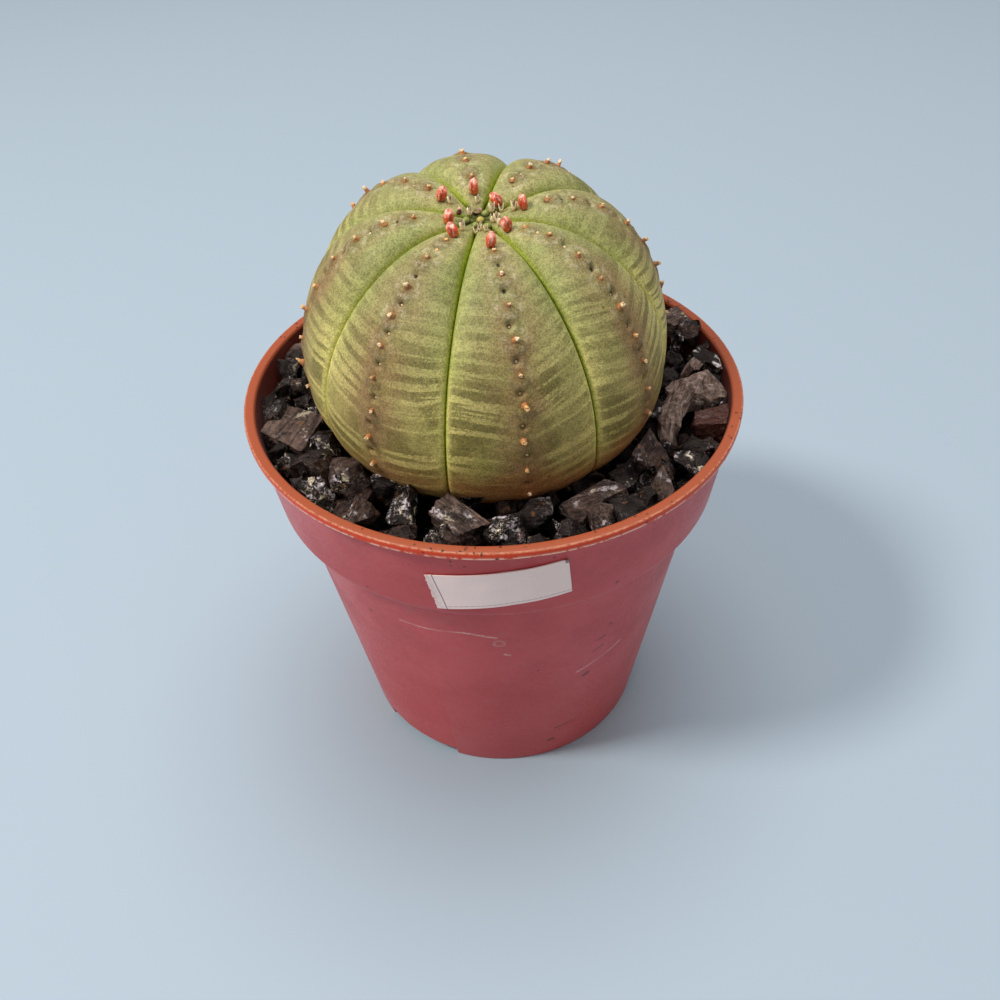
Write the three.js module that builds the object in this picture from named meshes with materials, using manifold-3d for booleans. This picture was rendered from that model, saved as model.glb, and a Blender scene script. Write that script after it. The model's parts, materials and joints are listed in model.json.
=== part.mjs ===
// Baseball plant (Euphorbia obesa) standing in a small round nursery pot, dressed with crushed slag grit.
// Millimetres, +Z up. The origin is the centre of the pot's base, on the surface that it stands on.

import * as THREE from 'three';
import { ConvexGeometry } from 'three/addons/geometries/ConvexGeometry.js';
import { mergeVertices } from 'three/addons/utils/BufferGeometryUtils.js';
import Module from 'manifold-3d';

const wasm = await Module();
wasm.setup();

// ---------------------------------------------------------------- driving dimensions

const GAP = 0.3; // clearance between pieces that touch

// Injection-moulded pot: straight tapered body, a wider collar and a thin flange round the mouth.
const POT = {
  rimRadius: 30,
  height: 51.5,
  wall: 0.7,
  flangeHeight: 1.0,
  mouthRadius: 28.75,
  collarTopRadius: 29.2,
  collarBottomRadius: 27.8,
  collarBottom: 40,
  bodyTopRadius: 25.7,
  bodyTop: 37.9,
  baseRadius: 19.86,
  baseCorner: 0.5,
  baseThickness: 0.8,
  facets: 64,
};

// Three raised pockets round the edge of the base let water out under the pot.
const DRAIN = {
  azimuths: [231.5, 351.5, 111.5],
  halfAngle: 17.5,
  innerRadius: 13,
  height: 1.5,
  slotInner: 14.6,
  slotOuter: 18.2,
  slotHalfAngle: 11,
};

// Blank paper strip stuck round the front of the collar, a little askew.
const LABEL = {
  length: 15.2,
  width: 5.9,
  thickness: 0.3,
  azimuth: -90.3,
  middle: 44.6,
  skew: 7.5,
};

const MIX = { top: 44.6, facets: 48 };

// Loose stones are thrown on the bed size by size, largest first, where they find room. Stones close to
// the plant lie lower, under the curve of its side.
const GRIT = {
  bedTop: 46.6,
  seed: 30,
  sizes: [4.7, 3.9, 3.2, 2.5],
  darts: 420,
  packing: 0.9,
  proportions: [1.25, 0.95, 0.95],
  roughness: 0.42,
  standing: 0.26,
  unevenness: 0.8,
  tilt: 0.9,
  bigStanding: 0.42,
  bigTilt: 0.3,
  innerRadius: 15.5,
  outerRadius: 27.6,
  plantReach: 21,
  dipByPlant: 0.3,
};

// Largest stones, each set where it lies: azimuth, distance from the pot's axis, length, breadth,
// height and the heading of its long side.
const BIG_STONES = [
  { azimuth: -168, radius: 24.6, length: 7.4, breadth: 6.2, height: 3.4, heading: 70 },
  { azimuth: 173, radius: 25.6, length: 5.6, breadth: 3.6, height: 3.8, heading: 20 },
  { azimuth: -156, radius: 21.6, length: 4.6, breadth: 4.2, height: 4.2, heading: 0 },
  { azimuth: -139, radius: 21.8, length: 5.2, breadth: 4.6, height: 4.6, heading: 35 },
  { azimuth: -128, radius: 25.0, length: 6.0, breadth: 3.4, height: 3.6, heading: 40 },
  { azimuth: -117, radius: 22.8, length: 5.2, breadth: 3.4, height: 5.2, heading: 75 },
  { azimuth: -100, radius: 22.2, length: 7.6, breadth: 4.6, height: 5.2, heading: -48 },
  { azimuth: -88, radius: 24.2, length: 4.8, breadth: 4.2, height: 4.2, heading: 20 },
  { azimuth: -79, radius: 21.9, length: 4.4, breadth: 4.0, height: 4.0, heading: 0 },
  { azimuth: -63, radius: 22.8, length: 7.4, breadth: 5.0, height: 4.6, heading: 10 },
  { azimuth: -38, radius: 22.8, length: 4.6, breadth: 4.2, height: 5.0, heading: 60 },
  { azimuth: -28, radius: 25.6, length: 5.8, breadth: 3.2, height: 4.0, heading: -40 },
  { azimuth: -13, radius: 26.0, length: 5.6, breadth: 5.0, height: 4.6, heading: 0 },
  { azimuth: 3, radius: 25.4, length: 7.2, breadth: 4.4, height: 4.8, heading: 50 },
  { azimuth: 25, radius: 26.2, length: 4.6, breadth: 3.4, height: 4.6, heading: 30 },
  { azimuth: 156, radius: 26.4, length: 5.4, breadth: 3.2, height: 3.6, heading: 15 },
];

// The plant is a squat globe with eight ribs that leans a little to the front.
const PLANT = {
  centre: [-0.6, 0.2, 55.7],
  lean: 10,
  radius: 20.9,
  upperHeight: 19.4,
  upperPower: 2.2,
  lowerHeight: 11.2,
  lowerPower: 2.14,
  undersideAngle: 150,
  apexDip: 0.85,
  apexDipRadius: 8,
  youngRadius: 5,
  ribHeight: 0.3,
  shoulderHeight: 1.5,
  shoulderArc: 9.7,
  shoulderSpread: 10.5,
  ribPower: 2.6,
  creaseDepth: 0.3,
  tubercleRelief: 0.16,
};
const FURROWS = [-103, -56, -13, 31, 75, 121, 166, 210.5]; // azimuth of each furrow round the plant

// Scars of the old flower stalks run down the crest of each rib.
const STALKS = {
  perRib: 9,
  firstArc: 6.2,
  pitch: 2.85,
  growth: 0.07,
  radius: 0.42,
  tipRadius: 0.2,
  length: 1.2,
  sunk: 0.6,
  facets: 4,
};

// Flower buds near the apex, one to a rib: distance from the apex and place across the rib (-1 to 1).
const BUDS = [
  { arc: 5.8, across: -0.05 },
  { arc: 4.0, across: -0.5 },
  { arc: 4.6, across: -0.2 },
  { arc: 2.7, across: -0.5 },
  { arc: 3.7, across: 0 },
  { arc: 4.7, across: 0.25 },
  { arc: 3.5, across: 0.5 },
  { arc: 4.5, across: 0.05 },
];
const BUD = { radius: 0.5, footRadius: 0.3, length: 1.8, upright: 0.6, facets: 9 };
const CROWN_ARCS = [0, 1, 2, 3.1, 4.2, 5.2]; // rings of the skin between the apex and the first scars

const COLOURS = {
  pot: { color: 0xa9553f, roughness: 0.42, metalness: 0 },
  label: { color: 0xe6dfe6, roughness: 0.75, metalness: 0 },
  mix: { color: 0x2b211b, roughness: 0.95, metalness: 0 },
  grit: { color: 0x2a2725, roughness: 0.35, metalness: 0 },
  plant: { color: 0x9aa368, roughness: 0.6, metalness: 0 },
  bud: { color: 0xd8584e, roughness: 0.4, metalness: 0 },
};

// ---------------------------------------------------------------- helpers

const radians = THREE.MathUtils.degToRad;
const vec2 = (x, y) => new THREE.Vector2(x, y);
const polar = (radius, degrees) => vec2(radius, 0).rotateAround(vec2(0, 0), radians(degrees));

// Seeded draw of numbers from 0 to 1 (mulberry32).
function randomSource(seed) {
  let state = seed;
  return () => {
    state = (state + 0x6d2b79f5) >>> 0;
    let value = Math.imul(state ^ (state >>> 15), state | 1);
    value ^= value + Math.imul(value ^ (value >>> 7), value | 61);
    return ((value ^ (value >>> 14)) >>> 0) / 4294967296;
  };
}

// A closed geometry as a solid: shared corners merged, slivers dropped and faces turned outwards.
function solidOf(geometry) {
  const bare = new THREE.BufferGeometry();
  bare.setAttribute('position', geometry.getAttribute('position').clone());
  if (geometry.index) bare.setIndex(geometry.index.clone());
  const welded = mergeVertices(bare, 1e-4);
  const corners = welded.getAttribute('position').array;
  const index = welded.index.array;
  const kept = [];
  let volume = 0;
  const at = [new THREE.Vector3(), new THREE.Vector3(), new THREE.Vector3()];
  for (let i = 0; i < index.length; i += 3) {
    const [a, b, c] = index.slice(i, i + 3);
    if (a === b || b === c || c === a) continue;
    kept.push(a, b, c);
    [a, b, c].forEach((corner, k) => at[k].fromArray(corners, corner * 3));
    volume += at[0].dot(at[1].cross(at[2]));
  }
  if (volume < 0) kept.reverse();
  return new wasm.Manifold(new wasm.Mesh({
    numProp: 3,
    vertProperties: new Float32Array(corners),
    triVerts: new Uint32Array(kept),
  }));
}

function geometryOf(solid) {
  const mesh = solid.getMesh();
  const geometry = new THREE.BufferGeometry();
  geometry.setAttribute('position', new THREE.BufferAttribute(new Float32Array(mesh.vertProperties), 3));
  geometry.setIndex(new THREE.BufferAttribute(new Uint32Array(mesh.triVerts), 1));
  geometry.computeVertexNormals();
  return geometry;
}

function unionOf(solids) {
  let layer = solids;
  while (layer.length > 1) {
    const next = [];
    for (let i = 0; i < layer.length; i += 2) {
      next.push(i + 1 < layer.length ? layer[i].add(layer[i + 1]) : layer[i]);
    }
    layer = next;
  }
  return layer[0];
}

// Solid of revolution about +Z. The profile runs from the axis, round the outside, back to the axis.
function turned(profile, facets) {
  return solidOf(new THREE.LatheGeometry(profile, facets).rotateX(Math.PI / 2));
}

// Block with the plan of a ring's sector, from one height to another.
function sectorBlock(innerRadius, outerRadius, azimuth, halfAngle, bottom, top) {
  const from = radians(azimuth - halfAngle);
  const to = radians(azimuth + halfAngle);
  const plan = new THREE.Shape();
  plan.absarc(0, 0, outerRadius, from, to, false);
  plan.absarc(0, 0, innerRadius, to, from, true);
  plan.closePath();
  const settings = { depth: top - bottom, bevelEnabled: false, curveSegments: 8 };
  const block = new THREE.ExtrudeGeometry(plan, settings);
  return solidOf(block.translate(0, 0, bottom));
}

function named(name, geometry, finish) {
  const mesh = new THREE.Mesh(geometry, new THREE.MeshStandardMaterial(finish));
  mesh.name = name;
  return mesh;
}

// ---------------------------------------------------------------- pot

// Collar radius outside, at a height between the collar's bottom and the flange.
function collarRadius(height) {
  const span = POT.height - POT.flangeHeight - POT.collarBottom;
  const share = (height - POT.collarBottom) / span;
  return THREE.MathUtils.lerp(POT.collarBottomRadius, POT.collarTopRadius, share);
}

function outerWall() {
  const flangeBottom = POT.height - POT.flangeHeight;
  const shoulder = POT.collarBottom - POT.bodyTop;
  return [
    vec2(POT.baseRadius - POT.baseCorner, 0),
    vec2(POT.baseRadius, POT.baseCorner),
    vec2(POT.bodyTopRadius, POT.bodyTop),
    vec2(POT.bodyTopRadius + 0.3 * shoulder, POT.bodyTop + 0.28 * shoulder),
    vec2(POT.collarBottomRadius - 0.3 * shoulder, POT.collarBottom - 0.38 * shoulder),
    vec2(POT.collarBottomRadius, POT.collarBottom),
    vec2(POT.collarTopRadius, flangeBottom),
    vec2(POT.rimRadius - 0.1, flangeBottom),
    vec2(POT.rimRadius, flangeBottom + 0.15),
    vec2(POT.rimRadius, POT.height - 0.15),
    vec2(POT.rimRadius - 0.15, POT.height),
  ];
}

// Inner face of the wall, from the mouth down to the floor, drawn in by a clearance.
function innerWall(clearance) {
  const inset = POT.wall + clearance;
  return [
    vec2(POT.collarBottomRadius - inset, POT.collarBottom + 0.3),
    vec2(POT.bodyTopRadius - inset, POT.bodyTop + 0.3),
    vec2(POT.baseRadius - inset + 0.1, POT.baseThickness + clearance),
  ];
}

// Radius that a filling can take at a height in the collar without touching the wall.
function fillRadius(height) {
  return collarRadius(height) - POT.wall - GAP;
}

function pot() {
  const shell = turned([
    vec2(0, 0),
    ...outerWall(),
    vec2(POT.mouthRadius, POT.height),
    vec2(POT.mouthRadius - 0.1, POT.height - 0.3),
    ...innerWall(0),
    vec2(0, POT.baseThickness),
  ], POT.facets);
  const filled = turned([vec2(0, 0), ...outerWall(), vec2(0, POT.height)], POT.facets);
  const roofTop = DRAIN.height + POT.baseThickness;
  const sideAngle = THREE.MathUtils.radToDeg(POT.wall / POT.baseRadius);
  const roofs = DRAIN.azimuths.map((azimuth) => sectorBlock(
    DRAIN.innerRadius - POT.wall, POT.rimRadius, azimuth, DRAIN.halfAngle + sideAngle, 0, roofTop,
  ).intersect(filled));
  const hollows = DRAIN.azimuths.map((azimuth) => sectorBlock(
    DRAIN.innerRadius, POT.rimRadius, azimuth, DRAIN.halfAngle, -1, DRAIN.height,
  ));
  const slots = DRAIN.azimuths.map((azimuth) => sectorBlock(
    DRAIN.slotInner, DRAIN.slotOuter, azimuth, DRAIN.slotHalfAngle, -1, roofTop + 1,
  ));
  const body = unionOf([shell, ...roofs]).subtract(unionOf(hollows)).subtract(unionOf(slots));
  return named('pot', geometryOf(body), COLOURS.pot);
}

// ---------------------------------------------------------------- label

function label() {
  const strip = new THREE.BoxGeometry(LABEL.length, LABEL.thickness, LABEL.width, 16, 1, 4);
  const place = strip.getAttribute('position');
  const skew = radians(LABEL.skew);
  for (let i = 0; i < place.count; i += 1) {
    const along = place.getX(i) * Math.cos(skew) - place.getZ(i) * Math.sin(skew);
    const height = LABEL.middle + place.getX(i) * Math.sin(skew) + place.getZ(i) * Math.cos(skew);
    const radius = collarRadius(height) + GAP + LABEL.thickness / 2 - place.getY(i);
    const azimuth = radians(LABEL.azimuth) + along / collarRadius(LABEL.middle);
    place.setXYZ(i, radius * Math.cos(azimuth), radius * Math.sin(azimuth), height);
  }
  return named('label', geometryOf(solidOf(strip)), COLOURS.label);
}

// ---------------------------------------------------------------- plant

// Half outline of the smooth body, from the apex to the tip of the root, in the plant's own frame.
function bodyOutline() {
  const points = [];
  for (let angle = 0; angle <= PLANT.undersideAngle; angle += 3) {
    const across = Math.abs(Math.sin(radians(angle)));
    const up = Math.cos(radians(angle));
    const power = up > 0 ? PLANT.upperPower : PLANT.lowerPower;
    const height = up > 0 ? PLANT.upperHeight : PLANT.lowerHeight;
    const scale = (across ** power + Math.abs(up) ** power) ** (-1 / power);
    const radius = PLANT.radius * scale * across;
    const dip = up > 0 ? PLANT.apexDip * Math.exp(-((radius / PLANT.apexDipRadius) ** 2)) : 0;
    points.push(vec2(radius, height * scale * up - dip));
  }
  points.push(vec2(7.2, -12), vec2(4.4, -13.6), vec2(3.2, -15.6), vec2(2.4, -17.6), vec2(0, -18.4));
  const outline = new THREE.SplineCurve(points);
  outline.arcLengthDivisions = 600;
  return outline;
}

const OUTLINE = bodyOutline();
const OUTLINE_LENGTH = OUTLINE.getLength();

// Distance along the rib, from the apex, of half-step number n: even steps are stalk scars, odd ones dimples.
function scarArc(n) {
  const k = n / 2;
  return STALKS.firstArc + STALKS.pitch * k + STALKS.growth * k * k;
}

// Distances from the apex at which the body's rings of vertices lie.
function ringArcs() {
  const arcs = [...CROWN_ARCS];
  for (let n = 0; n <= 2 * (STALKS.perRib - 1); n += 1) arcs.push(scarArc(n));
  const last = arcs[arcs.length - 1];
  const rest = 7;
  for (let i = 1; i <= rest; i += 1) arcs.push(THREE.MathUtils.lerp(last, OUTLINE_LENGTH, i / rest));
  return arcs;
}

// How far a rib's crest stands out from the furrows beside it.
function ribLift(arc, radius) {
  const shoulder = Math.exp(-(((arc - PLANT.shoulderArc) / PLANT.shoulderSpread) ** 2));
  const young = 1 - Math.exp(-((radius / PLANT.youngRadius) ** 2));
  const buried = THREE.MathUtils.smoothstep(arc, 36, 42);
  return (PLANT.ribHeight + PLANT.shoulderHeight * shoulder) * young * (1 - buried);
}

// Point of the body's surface and its outward direction in the section, in the plant's own frame.
function surfacePoint(rib, across, arc, relief = 0) {
  const share = THREE.MathUtils.clamp(arc / OUTLINE_LENGTH, 0, 1);
  const spot = OUTLINE.getPointAt(share);
  const along = OUTLINE.getTangentAt(share);
  const crest = 1 - Math.abs(across) ** PLANT.ribPower;
  const lift = ribLift(arc, spot.x);
  const crease = Math.abs(across) > 0.98 ? PLANT.creaseDepth * Math.min(1, lift) : 0;
  const offset = lift * crest - crease + relief;
  const next = rib + 1 < FURROWS.length ? FURROWS[rib + 1] : FURROWS[0] + 360;
  const azimuth = radians(THREE.MathUtils.lerp(FURROWS[rib], next, (across + 1) / 2));
  const radius = Math.max(0, spot.x - along.y * offset);
  const outward = new THREE.Vector3(-along.y * Math.cos(azimuth), -along.y * Math.sin(azimuth), along.x);
  const height = spot.y + along.x * offset;
  const point = new THREE.Vector3(radius * Math.cos(azimuth), radius * Math.sin(azimuth), height);
  return { point, outward };
}

// Ribbed skin: a sphere's grid of vertices, moved to the body's surface.
function plantSkin() {
  const steps = 10;
  const arcs = ringArcs();
  const skin = new THREE.SphereGeometry(1, FURROWS.length * steps, arcs.length - 1);
  const place = skin.getAttribute('position');
  const columns = FURROWS.length * steps + 1;
  for (let i = 0; i < place.count; i += 1) {
    const ring = Math.floor(i / columns);
    const column = (i % columns) % (columns - 1);
    const rib = Math.floor(column / steps);
    const across = (2 * (column % steps)) / steps - 1;
    const n = ring - CROWN_ARCS.length;
    const scarred = n >= 0 && n <= 2 * (STALKS.perRib - 1);
    const nearCrest = Math.exp(-((across / 0.3) ** 2));
    const relief = scarred ? (n % 2 === 0 ? 1 : -1) * PLANT.tubercleRelief * nearCrest : 0;
    const { point } = surfacePoint(rib, across, arcs[ring], relief);
    place.setXYZ(i, point.x, point.y, point.z);
  }
  return solidOf(skin);
}

// Broken-off stalk: a blunt peg rooted in the crest.
function stalkStub(rib, n) {
  const { point, outward } = surfacePoint(rib, 0, scarArc(n));
  const stub = new THREE.CylinderGeometry(STALKS.tipRadius, STALKS.radius, STALKS.length, STALKS.facets);
  stub.translate(0, STALKS.length / 2 - STALKS.sunk, 0);
  stub.applyQuaternion(new THREE.Quaternion().setFromUnitVectors(new THREE.Vector3(0, 1, 0), outward));
  stub.translate(point.x, point.y, point.z);
  return solidOf(stub);
}

function plantBody() {
  const stubs = [];
  for (let rib = 0; rib < FURROWS.length; rib += 1) {
    for (let k = 0; k < STALKS.perRib; k += 1) stubs.push(stalkStub(rib, 2 * k));
  }
  return named('plant_body', geometryOf(unionOf([plantSkin(), ...stubs])), COLOURS.plant);
}

// Flower bud: an egg-shaped head on a narrower foot, upright on the crest of its rib.
function bud(number) {
  const { arc, across } = BUDS[number];
  const { point, outward } = surfacePoint(number, across, arc);
  const axis = outward.clone().lerp(new THREE.Vector3(0, 0, 1), BUD.upright).normalize();
  const profile = [vec2(0, 0), vec2(BUD.footRadius, 0)];
  for (const share of [0.15, 0.38, 0.66, 0.88]) {
    profile.push(vec2(BUD.radius * Math.sqrt(Math.sin(Math.PI * share)), BUD.length * share));
  }
  profile.push(vec2(0, BUD.length));
  const geometry = geometryOf(turned(profile, BUD.facets));
  const mesh = named(`cyathium_${String(number + 1).padStart(2, '0')}`, geometry, COLOURS.bud);
  mesh.quaternion.setFromUnitVectors(new THREE.Vector3(0, 0, 1), axis);
  mesh.position.copy(point).addScaledVector(outward, GAP);
  return mesh;
}

function placePlant(object) {
  object.position.fromArray(PLANT.centre);
  object.rotation.x = radians(PLANT.lean);
  object.updateMatrixWorld(true);
  return object;
}

// Smooth envelope of the plant, a clearance larger all round, in the pot's frame.
function plantSocket() {
  const spread = PLANT.ribHeight + GAP;
  const profile = [];
  const steps = 26;
  for (let i = 0; i <= steps; i += 1) {
    const spot = OUTLINE.getPointAt(1 - i / steps);
    const along = OUTLINE.getTangentAt(1 - i / steps);
    const end = i === 0 || i === steps;
    profile.push(vec2(end ? 0 : Math.max(0, spot.x - along.y * spread), spot.y + along.x * spread));
  }
  const socket = new THREE.LatheGeometry(profile, 40).rotateX(Math.PI / 2);
  const frame = placePlant(new THREE.Group());
  return solidOf(socket.applyMatrix4(frame.matrixWorld));
}

// ---------------------------------------------------------------- filling

// Potting mix, from the floor of the pot up to the grit, clear of the drainage pockets and the root.
function pottingMix(socket) {
  const floor = POT.baseThickness + GAP;
  const body = turned([
    vec2(0, floor),
    ...innerWall(GAP).reverse(),
    vec2(fillRadius(MIX.top), MIX.top),
    vec2(0, MIX.top),
  ], MIX.facets);
  const clearAngle = THREE.MathUtils.radToDeg((POT.wall + GAP) / DRAIN.innerRadius);
  const pockets = DRAIN.azimuths.map((azimuth) => sectorBlock(
    DRAIN.innerRadius - POT.wall - GAP, POT.rimRadius, azimuth, DRAIN.halfAngle + clearAngle,
    0, DRAIN.height + POT.baseThickness + GAP,
  ));
  const filling = body.subtract(unionOf(pockets)).subtract(socket);
  return named('potting_mix', geometryOf(filling), COLOURS.mix);
}

// Angular stone: the hull of a box whose corners are pulled in at random.
function stone({ x, y, z, length, breadth, height, heading, tilt }, rand) {
  const turn = new THREE.Quaternion().setFromEuler(new THREE.Euler(tilt, 0, heading, 'ZXY'));
  const corners = [];
  for (const sx of [-1, 1]) {
    for (const sy of [-1, 1]) {
      for (const sz of [-1, 1]) {
        const pull = () => 0.54 - GRIT.roughness * rand() ** 1.5;
        const corner = new THREE.Vector3(sx * length * pull(), sy * breadth * pull(), sz * height * pull());
        corner.applyQuaternion(turn);
        corner.add(new THREE.Vector3(x, y, z));
        const limit = fillRadius(Math.max(corner.z, POT.collarBottom + 0.5));
        const reach = Math.hypot(corner.x, corner.y);
        if (reach > limit) corner.multiply(new THREE.Vector3(limit / reach, limit / reach, 1));
        corners.push(corner);
      }
    }
  }
  return solidOf(new ConvexGeometry(corners));
}

// Height of a loose stone's middle.
function stoneHeight(x, y, size, rand) {
  const reach = Math.hypot(x - PLANT.centre[0], y - PLANT.centre[1]);
  const under = Math.max(0, GRIT.plantReach - reach) * GRIT.dipByPlant;
  return GRIT.bedTop + GRIT.standing * size + GRIT.unevenness * rand() - under;
}

function scatterStones() {
  const rand = randomSource(GRIT.seed);
  const placed = BIG_STONES.map((big) => {
    const spot = polar(big.radius, big.azimuth);
    const size = (big.length + big.breadth) / 2;
    const z = GRIT.bedTop + GRIT.bigStanding * big.height;
    const tilt = GRIT.bigTilt * (rand() - 0.5);
    return { ...big, x: spot.x, y: spot.y, z, size, heading: radians(big.heading), tilt };
  });
  for (const size of GRIT.sizes) {
    for (let i = 0; i < GRIT.darts; i += 1) {
      const radius = Math.sqrt(THREE.MathUtils.lerp(GRIT.innerRadius ** 2, GRIT.outerRadius ** 2, rand()));
      const { x, y } = polar(radius, 360 * rand());
      const free = placed.every((other) => {
        const reach = GRIT.packing * (size + other.size) / 2;
        return Math.hypot(x - other.x, y - other.y) > reach;
      });
      if (!free) continue;
      const sides = GRIT.proportions.map((share) => size * share * (0.85 + 0.3 * rand()));
      const [length, breadth, height] = sides;
      const z = stoneHeight(x, y, size, rand);
      const heading = Math.PI * rand();
      const tilt = GRIT.tilt * (rand() - 0.5);
      placed.push({ x, y, z, size, length, breadth, height, heading, tilt });
    }
  }
  return placed.map((spec) => stone(spec, rand));
}

function grit(socket) {
  const bottom = MIX.top + GAP;
  const bed = turned([
    vec2(0, bottom),
    vec2(fillRadius(bottom), bottom),
    vec2(fillRadius(GRIT.bedTop), GRIT.bedTop),
    vec2(0, GRIT.bedTop),
  ], POT.facets);
  const floor = turned([vec2(0, 30), vec2(POT.rimRadius, 30), vec2(POT.rimRadius, bottom), vec2(0, bottom)], 16);
  const cut = unionOf([bed, ...scatterStones()]).subtract(floor).subtract(socket);
  const scraps = cut.decompose().sort((a, b) => b.volume() - a.volume());
  return named('grit', geometryOf(scraps[0]), COLOURS.grit);
}

// ---------------------------------------------------------------- assembly

const socket = plantSocket();
const plant = placePlant(new THREE.Group());
plant.add(plantBody(), ...BUDS.map((_, number) => bud(number)));

const baseballPlant = new THREE.Group();
baseballPlant.add(pot(), label(), pottingMix(socket), grit(socket), plant);

export default baseballPlant;
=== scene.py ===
"""Baseball plant in its nursery pot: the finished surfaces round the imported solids.

Laid out as a Blender add-on and run as a script. Lengths are millimetres in the settings and in the
working functions, and metres in the finished meshes.
"""

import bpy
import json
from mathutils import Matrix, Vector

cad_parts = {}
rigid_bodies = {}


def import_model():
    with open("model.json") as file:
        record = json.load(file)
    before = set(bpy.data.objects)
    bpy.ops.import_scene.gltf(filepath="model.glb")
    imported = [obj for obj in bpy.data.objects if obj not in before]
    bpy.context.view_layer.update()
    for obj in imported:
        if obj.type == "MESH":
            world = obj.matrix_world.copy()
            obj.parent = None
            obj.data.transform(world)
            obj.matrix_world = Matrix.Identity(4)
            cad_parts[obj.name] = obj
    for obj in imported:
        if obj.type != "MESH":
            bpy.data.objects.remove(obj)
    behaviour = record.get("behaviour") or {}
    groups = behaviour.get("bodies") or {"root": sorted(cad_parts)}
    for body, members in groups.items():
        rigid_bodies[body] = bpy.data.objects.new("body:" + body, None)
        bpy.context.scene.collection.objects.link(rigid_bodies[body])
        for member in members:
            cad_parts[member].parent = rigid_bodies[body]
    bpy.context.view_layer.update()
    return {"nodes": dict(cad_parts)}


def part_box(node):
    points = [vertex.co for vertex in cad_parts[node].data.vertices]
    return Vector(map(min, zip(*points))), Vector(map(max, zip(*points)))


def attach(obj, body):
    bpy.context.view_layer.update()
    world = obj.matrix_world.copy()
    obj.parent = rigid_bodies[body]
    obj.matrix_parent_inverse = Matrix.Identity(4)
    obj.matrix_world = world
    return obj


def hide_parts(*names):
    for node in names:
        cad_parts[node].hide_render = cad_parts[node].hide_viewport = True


bl_info = {
    "name": "Potted Baseball Plant",
    "version": (1, 0, 0),
    "blender": (4, 5, 0),
    "location": "View3D > Sidebar > Baseball Plant",
    "description": "Builds the skin, buds, grit, pot and paper strip of a potted baseball plant",
    "category": "Object",
}

import json
import math
import random

import bmesh
import bpy
import numpy as np
from bpy.props import FloatProperty, FloatVectorProperty, IntProperty, PointerProperty
from mathutils import Euler, Matrix, Quaternion, Vector, noise
from mathutils.bvhtree import BVHTree

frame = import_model()

MM = 0.001
BODY = "root"
UP = Vector((0, 0, 1))
# Vertices closer together than this are joined, in metres.
DOUBLE_GAP = 1e-7

# ---------------------------------------------------------------- places and sizes, in millimetres

RIM_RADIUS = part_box("pot")[1].x / MM
POT_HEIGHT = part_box("pot")[1].z / MM
WALL = 0.7
FLANGE_HEIGHT = 1.0
MOUTH_RADIUS = 28.75
COLLAR_TOP_RADIUS = 29.2
COLLAR_BOTTOM_RADIUS = 27.8
COLLAR_BOTTOM = 40.0
BODY_TOP_RADIUS = 25.7
BODY_TOP = 37.9
BASE_RADIUS = 19.86
BASE_THICKNESS = 0.8
DRAIN_AZIMUTHS = (231.5, 351.5, 111.5)
# Recesses under the base: radii, half width as an angle and height, then the slot in each. The outer
# radius lies beyond the wall, so that each recess opens to the side.
DRAIN_INNER = 13
DRAIN_OUTER = 32
DRAIN_HALF_ANGLE = 17.5
DRAIN_HEIGHT = 1.5
SLOT_RADII = (14.6, 18.2)
SLOT_HALF_ANGLE = 11

PLANT_CENTRE = Vector((-0.6, 0.2, 55.7))
PLANT_LEAN = math.radians(10)
PLANT_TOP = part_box("plant_body")[1].z / MM
FURROWS = (-103, -56, -13, 31, 75, 121, 166, 210.5)
WRAP_RADIUS = 20.0
# The ribs stand highest at this distance from the apex, and fade out within this radius of it.
SHOULDER_ARC = 9.7
SHOULDER_SPREAD = 10.5
CROWN_RADIUS = 5.0

# Distances from the apex of the stalk scars. The ribs that face the front have theirs one by one, the
# others follow the growth rule: first, step and how much the step grows.
SCARS = {
    0: (6.8, 9.65, 12.6, 15.7, 18.9, 21.9, 25.8, 29.6, 33.6),
    1: (5.4, 8.0, 11.3, 14.2, 17.4, 20.8, 23.9, 27.4, 31.0),
    7: (5.7, 8.6, 11.9, 14.8, 17.7, 20.9, 24.4, 27.9, 31.7),
}
SCAR_GROWTH = (6.2, 2.85, 0.07)
SCARS_PER_RIB = 9

# Flower buds: rib, distance from the apex, place across the rib, lean in degrees and its heading.
BUDS = (
    (0, 5.8, -0.05, 16, -60),
    (1, 4.0, -0.5, 14, 200),
    (2, 4.6, -0.2, 10, 180),
    (3, 2.7, -0.5, 24, 170),
    (4, 3.7, 0.0, 5, 90),
    (5, 4.7, 0.25, 18, 0),
    (6, 3.5, 0.5, 10, 20),
    (7, 4.5, 0.05, 14, 170),
)

# Large stones: azimuth, distance from the axis, length, breadth, height, heading, finish.
BIG_STONES = (
    (-168, 24.6, 7.4, 6.2, 3.4, 70, "slab"),
    (173, 25.6, 5.6, 3.6, 3.8, 20, "brown"),
    (-156, 21.6, 4.6, 4.2, 4.2, 0, "glint"),
    (-139, 21.8, 5.2, 4.6, 4.6, 35, "rust"),
    (-128, 25.0, 6.0, 3.4, 3.6, 40, "umber"),
    (-117, 22.8, 5.2, 3.4, 5.2, 75, "glint"),
    (-100, 22.2, 7.6, 4.6, 5.2, -48, "grain"),
    (-88, 24.2, 4.8, 4.2, 4.2, 20, "glint"),
    (-79, 21.9, 4.4, 4.0, 4.0, 0, "black"),
    (-63, 22.8, 7.4, 5.0, 4.6, 10, "umber"),
    (-38, 22.8, 4.6, 4.2, 5.0, 60, "rust"),
    (-28, 25.6, 5.8, 3.2, 4.0, -40, "black"),
    (-13, 26.0, 5.6, 5.0, 4.6, 0, "red"),
    (3, 25.4, 7.2, 4.4, 4.8, 50, "grain"),
    (25, 26.2, 4.6, 3.4, 4.6, 30, "black"),
    (156, 26.4, 5.4, 3.2, 3.6, 15, "slab"),
)
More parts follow.
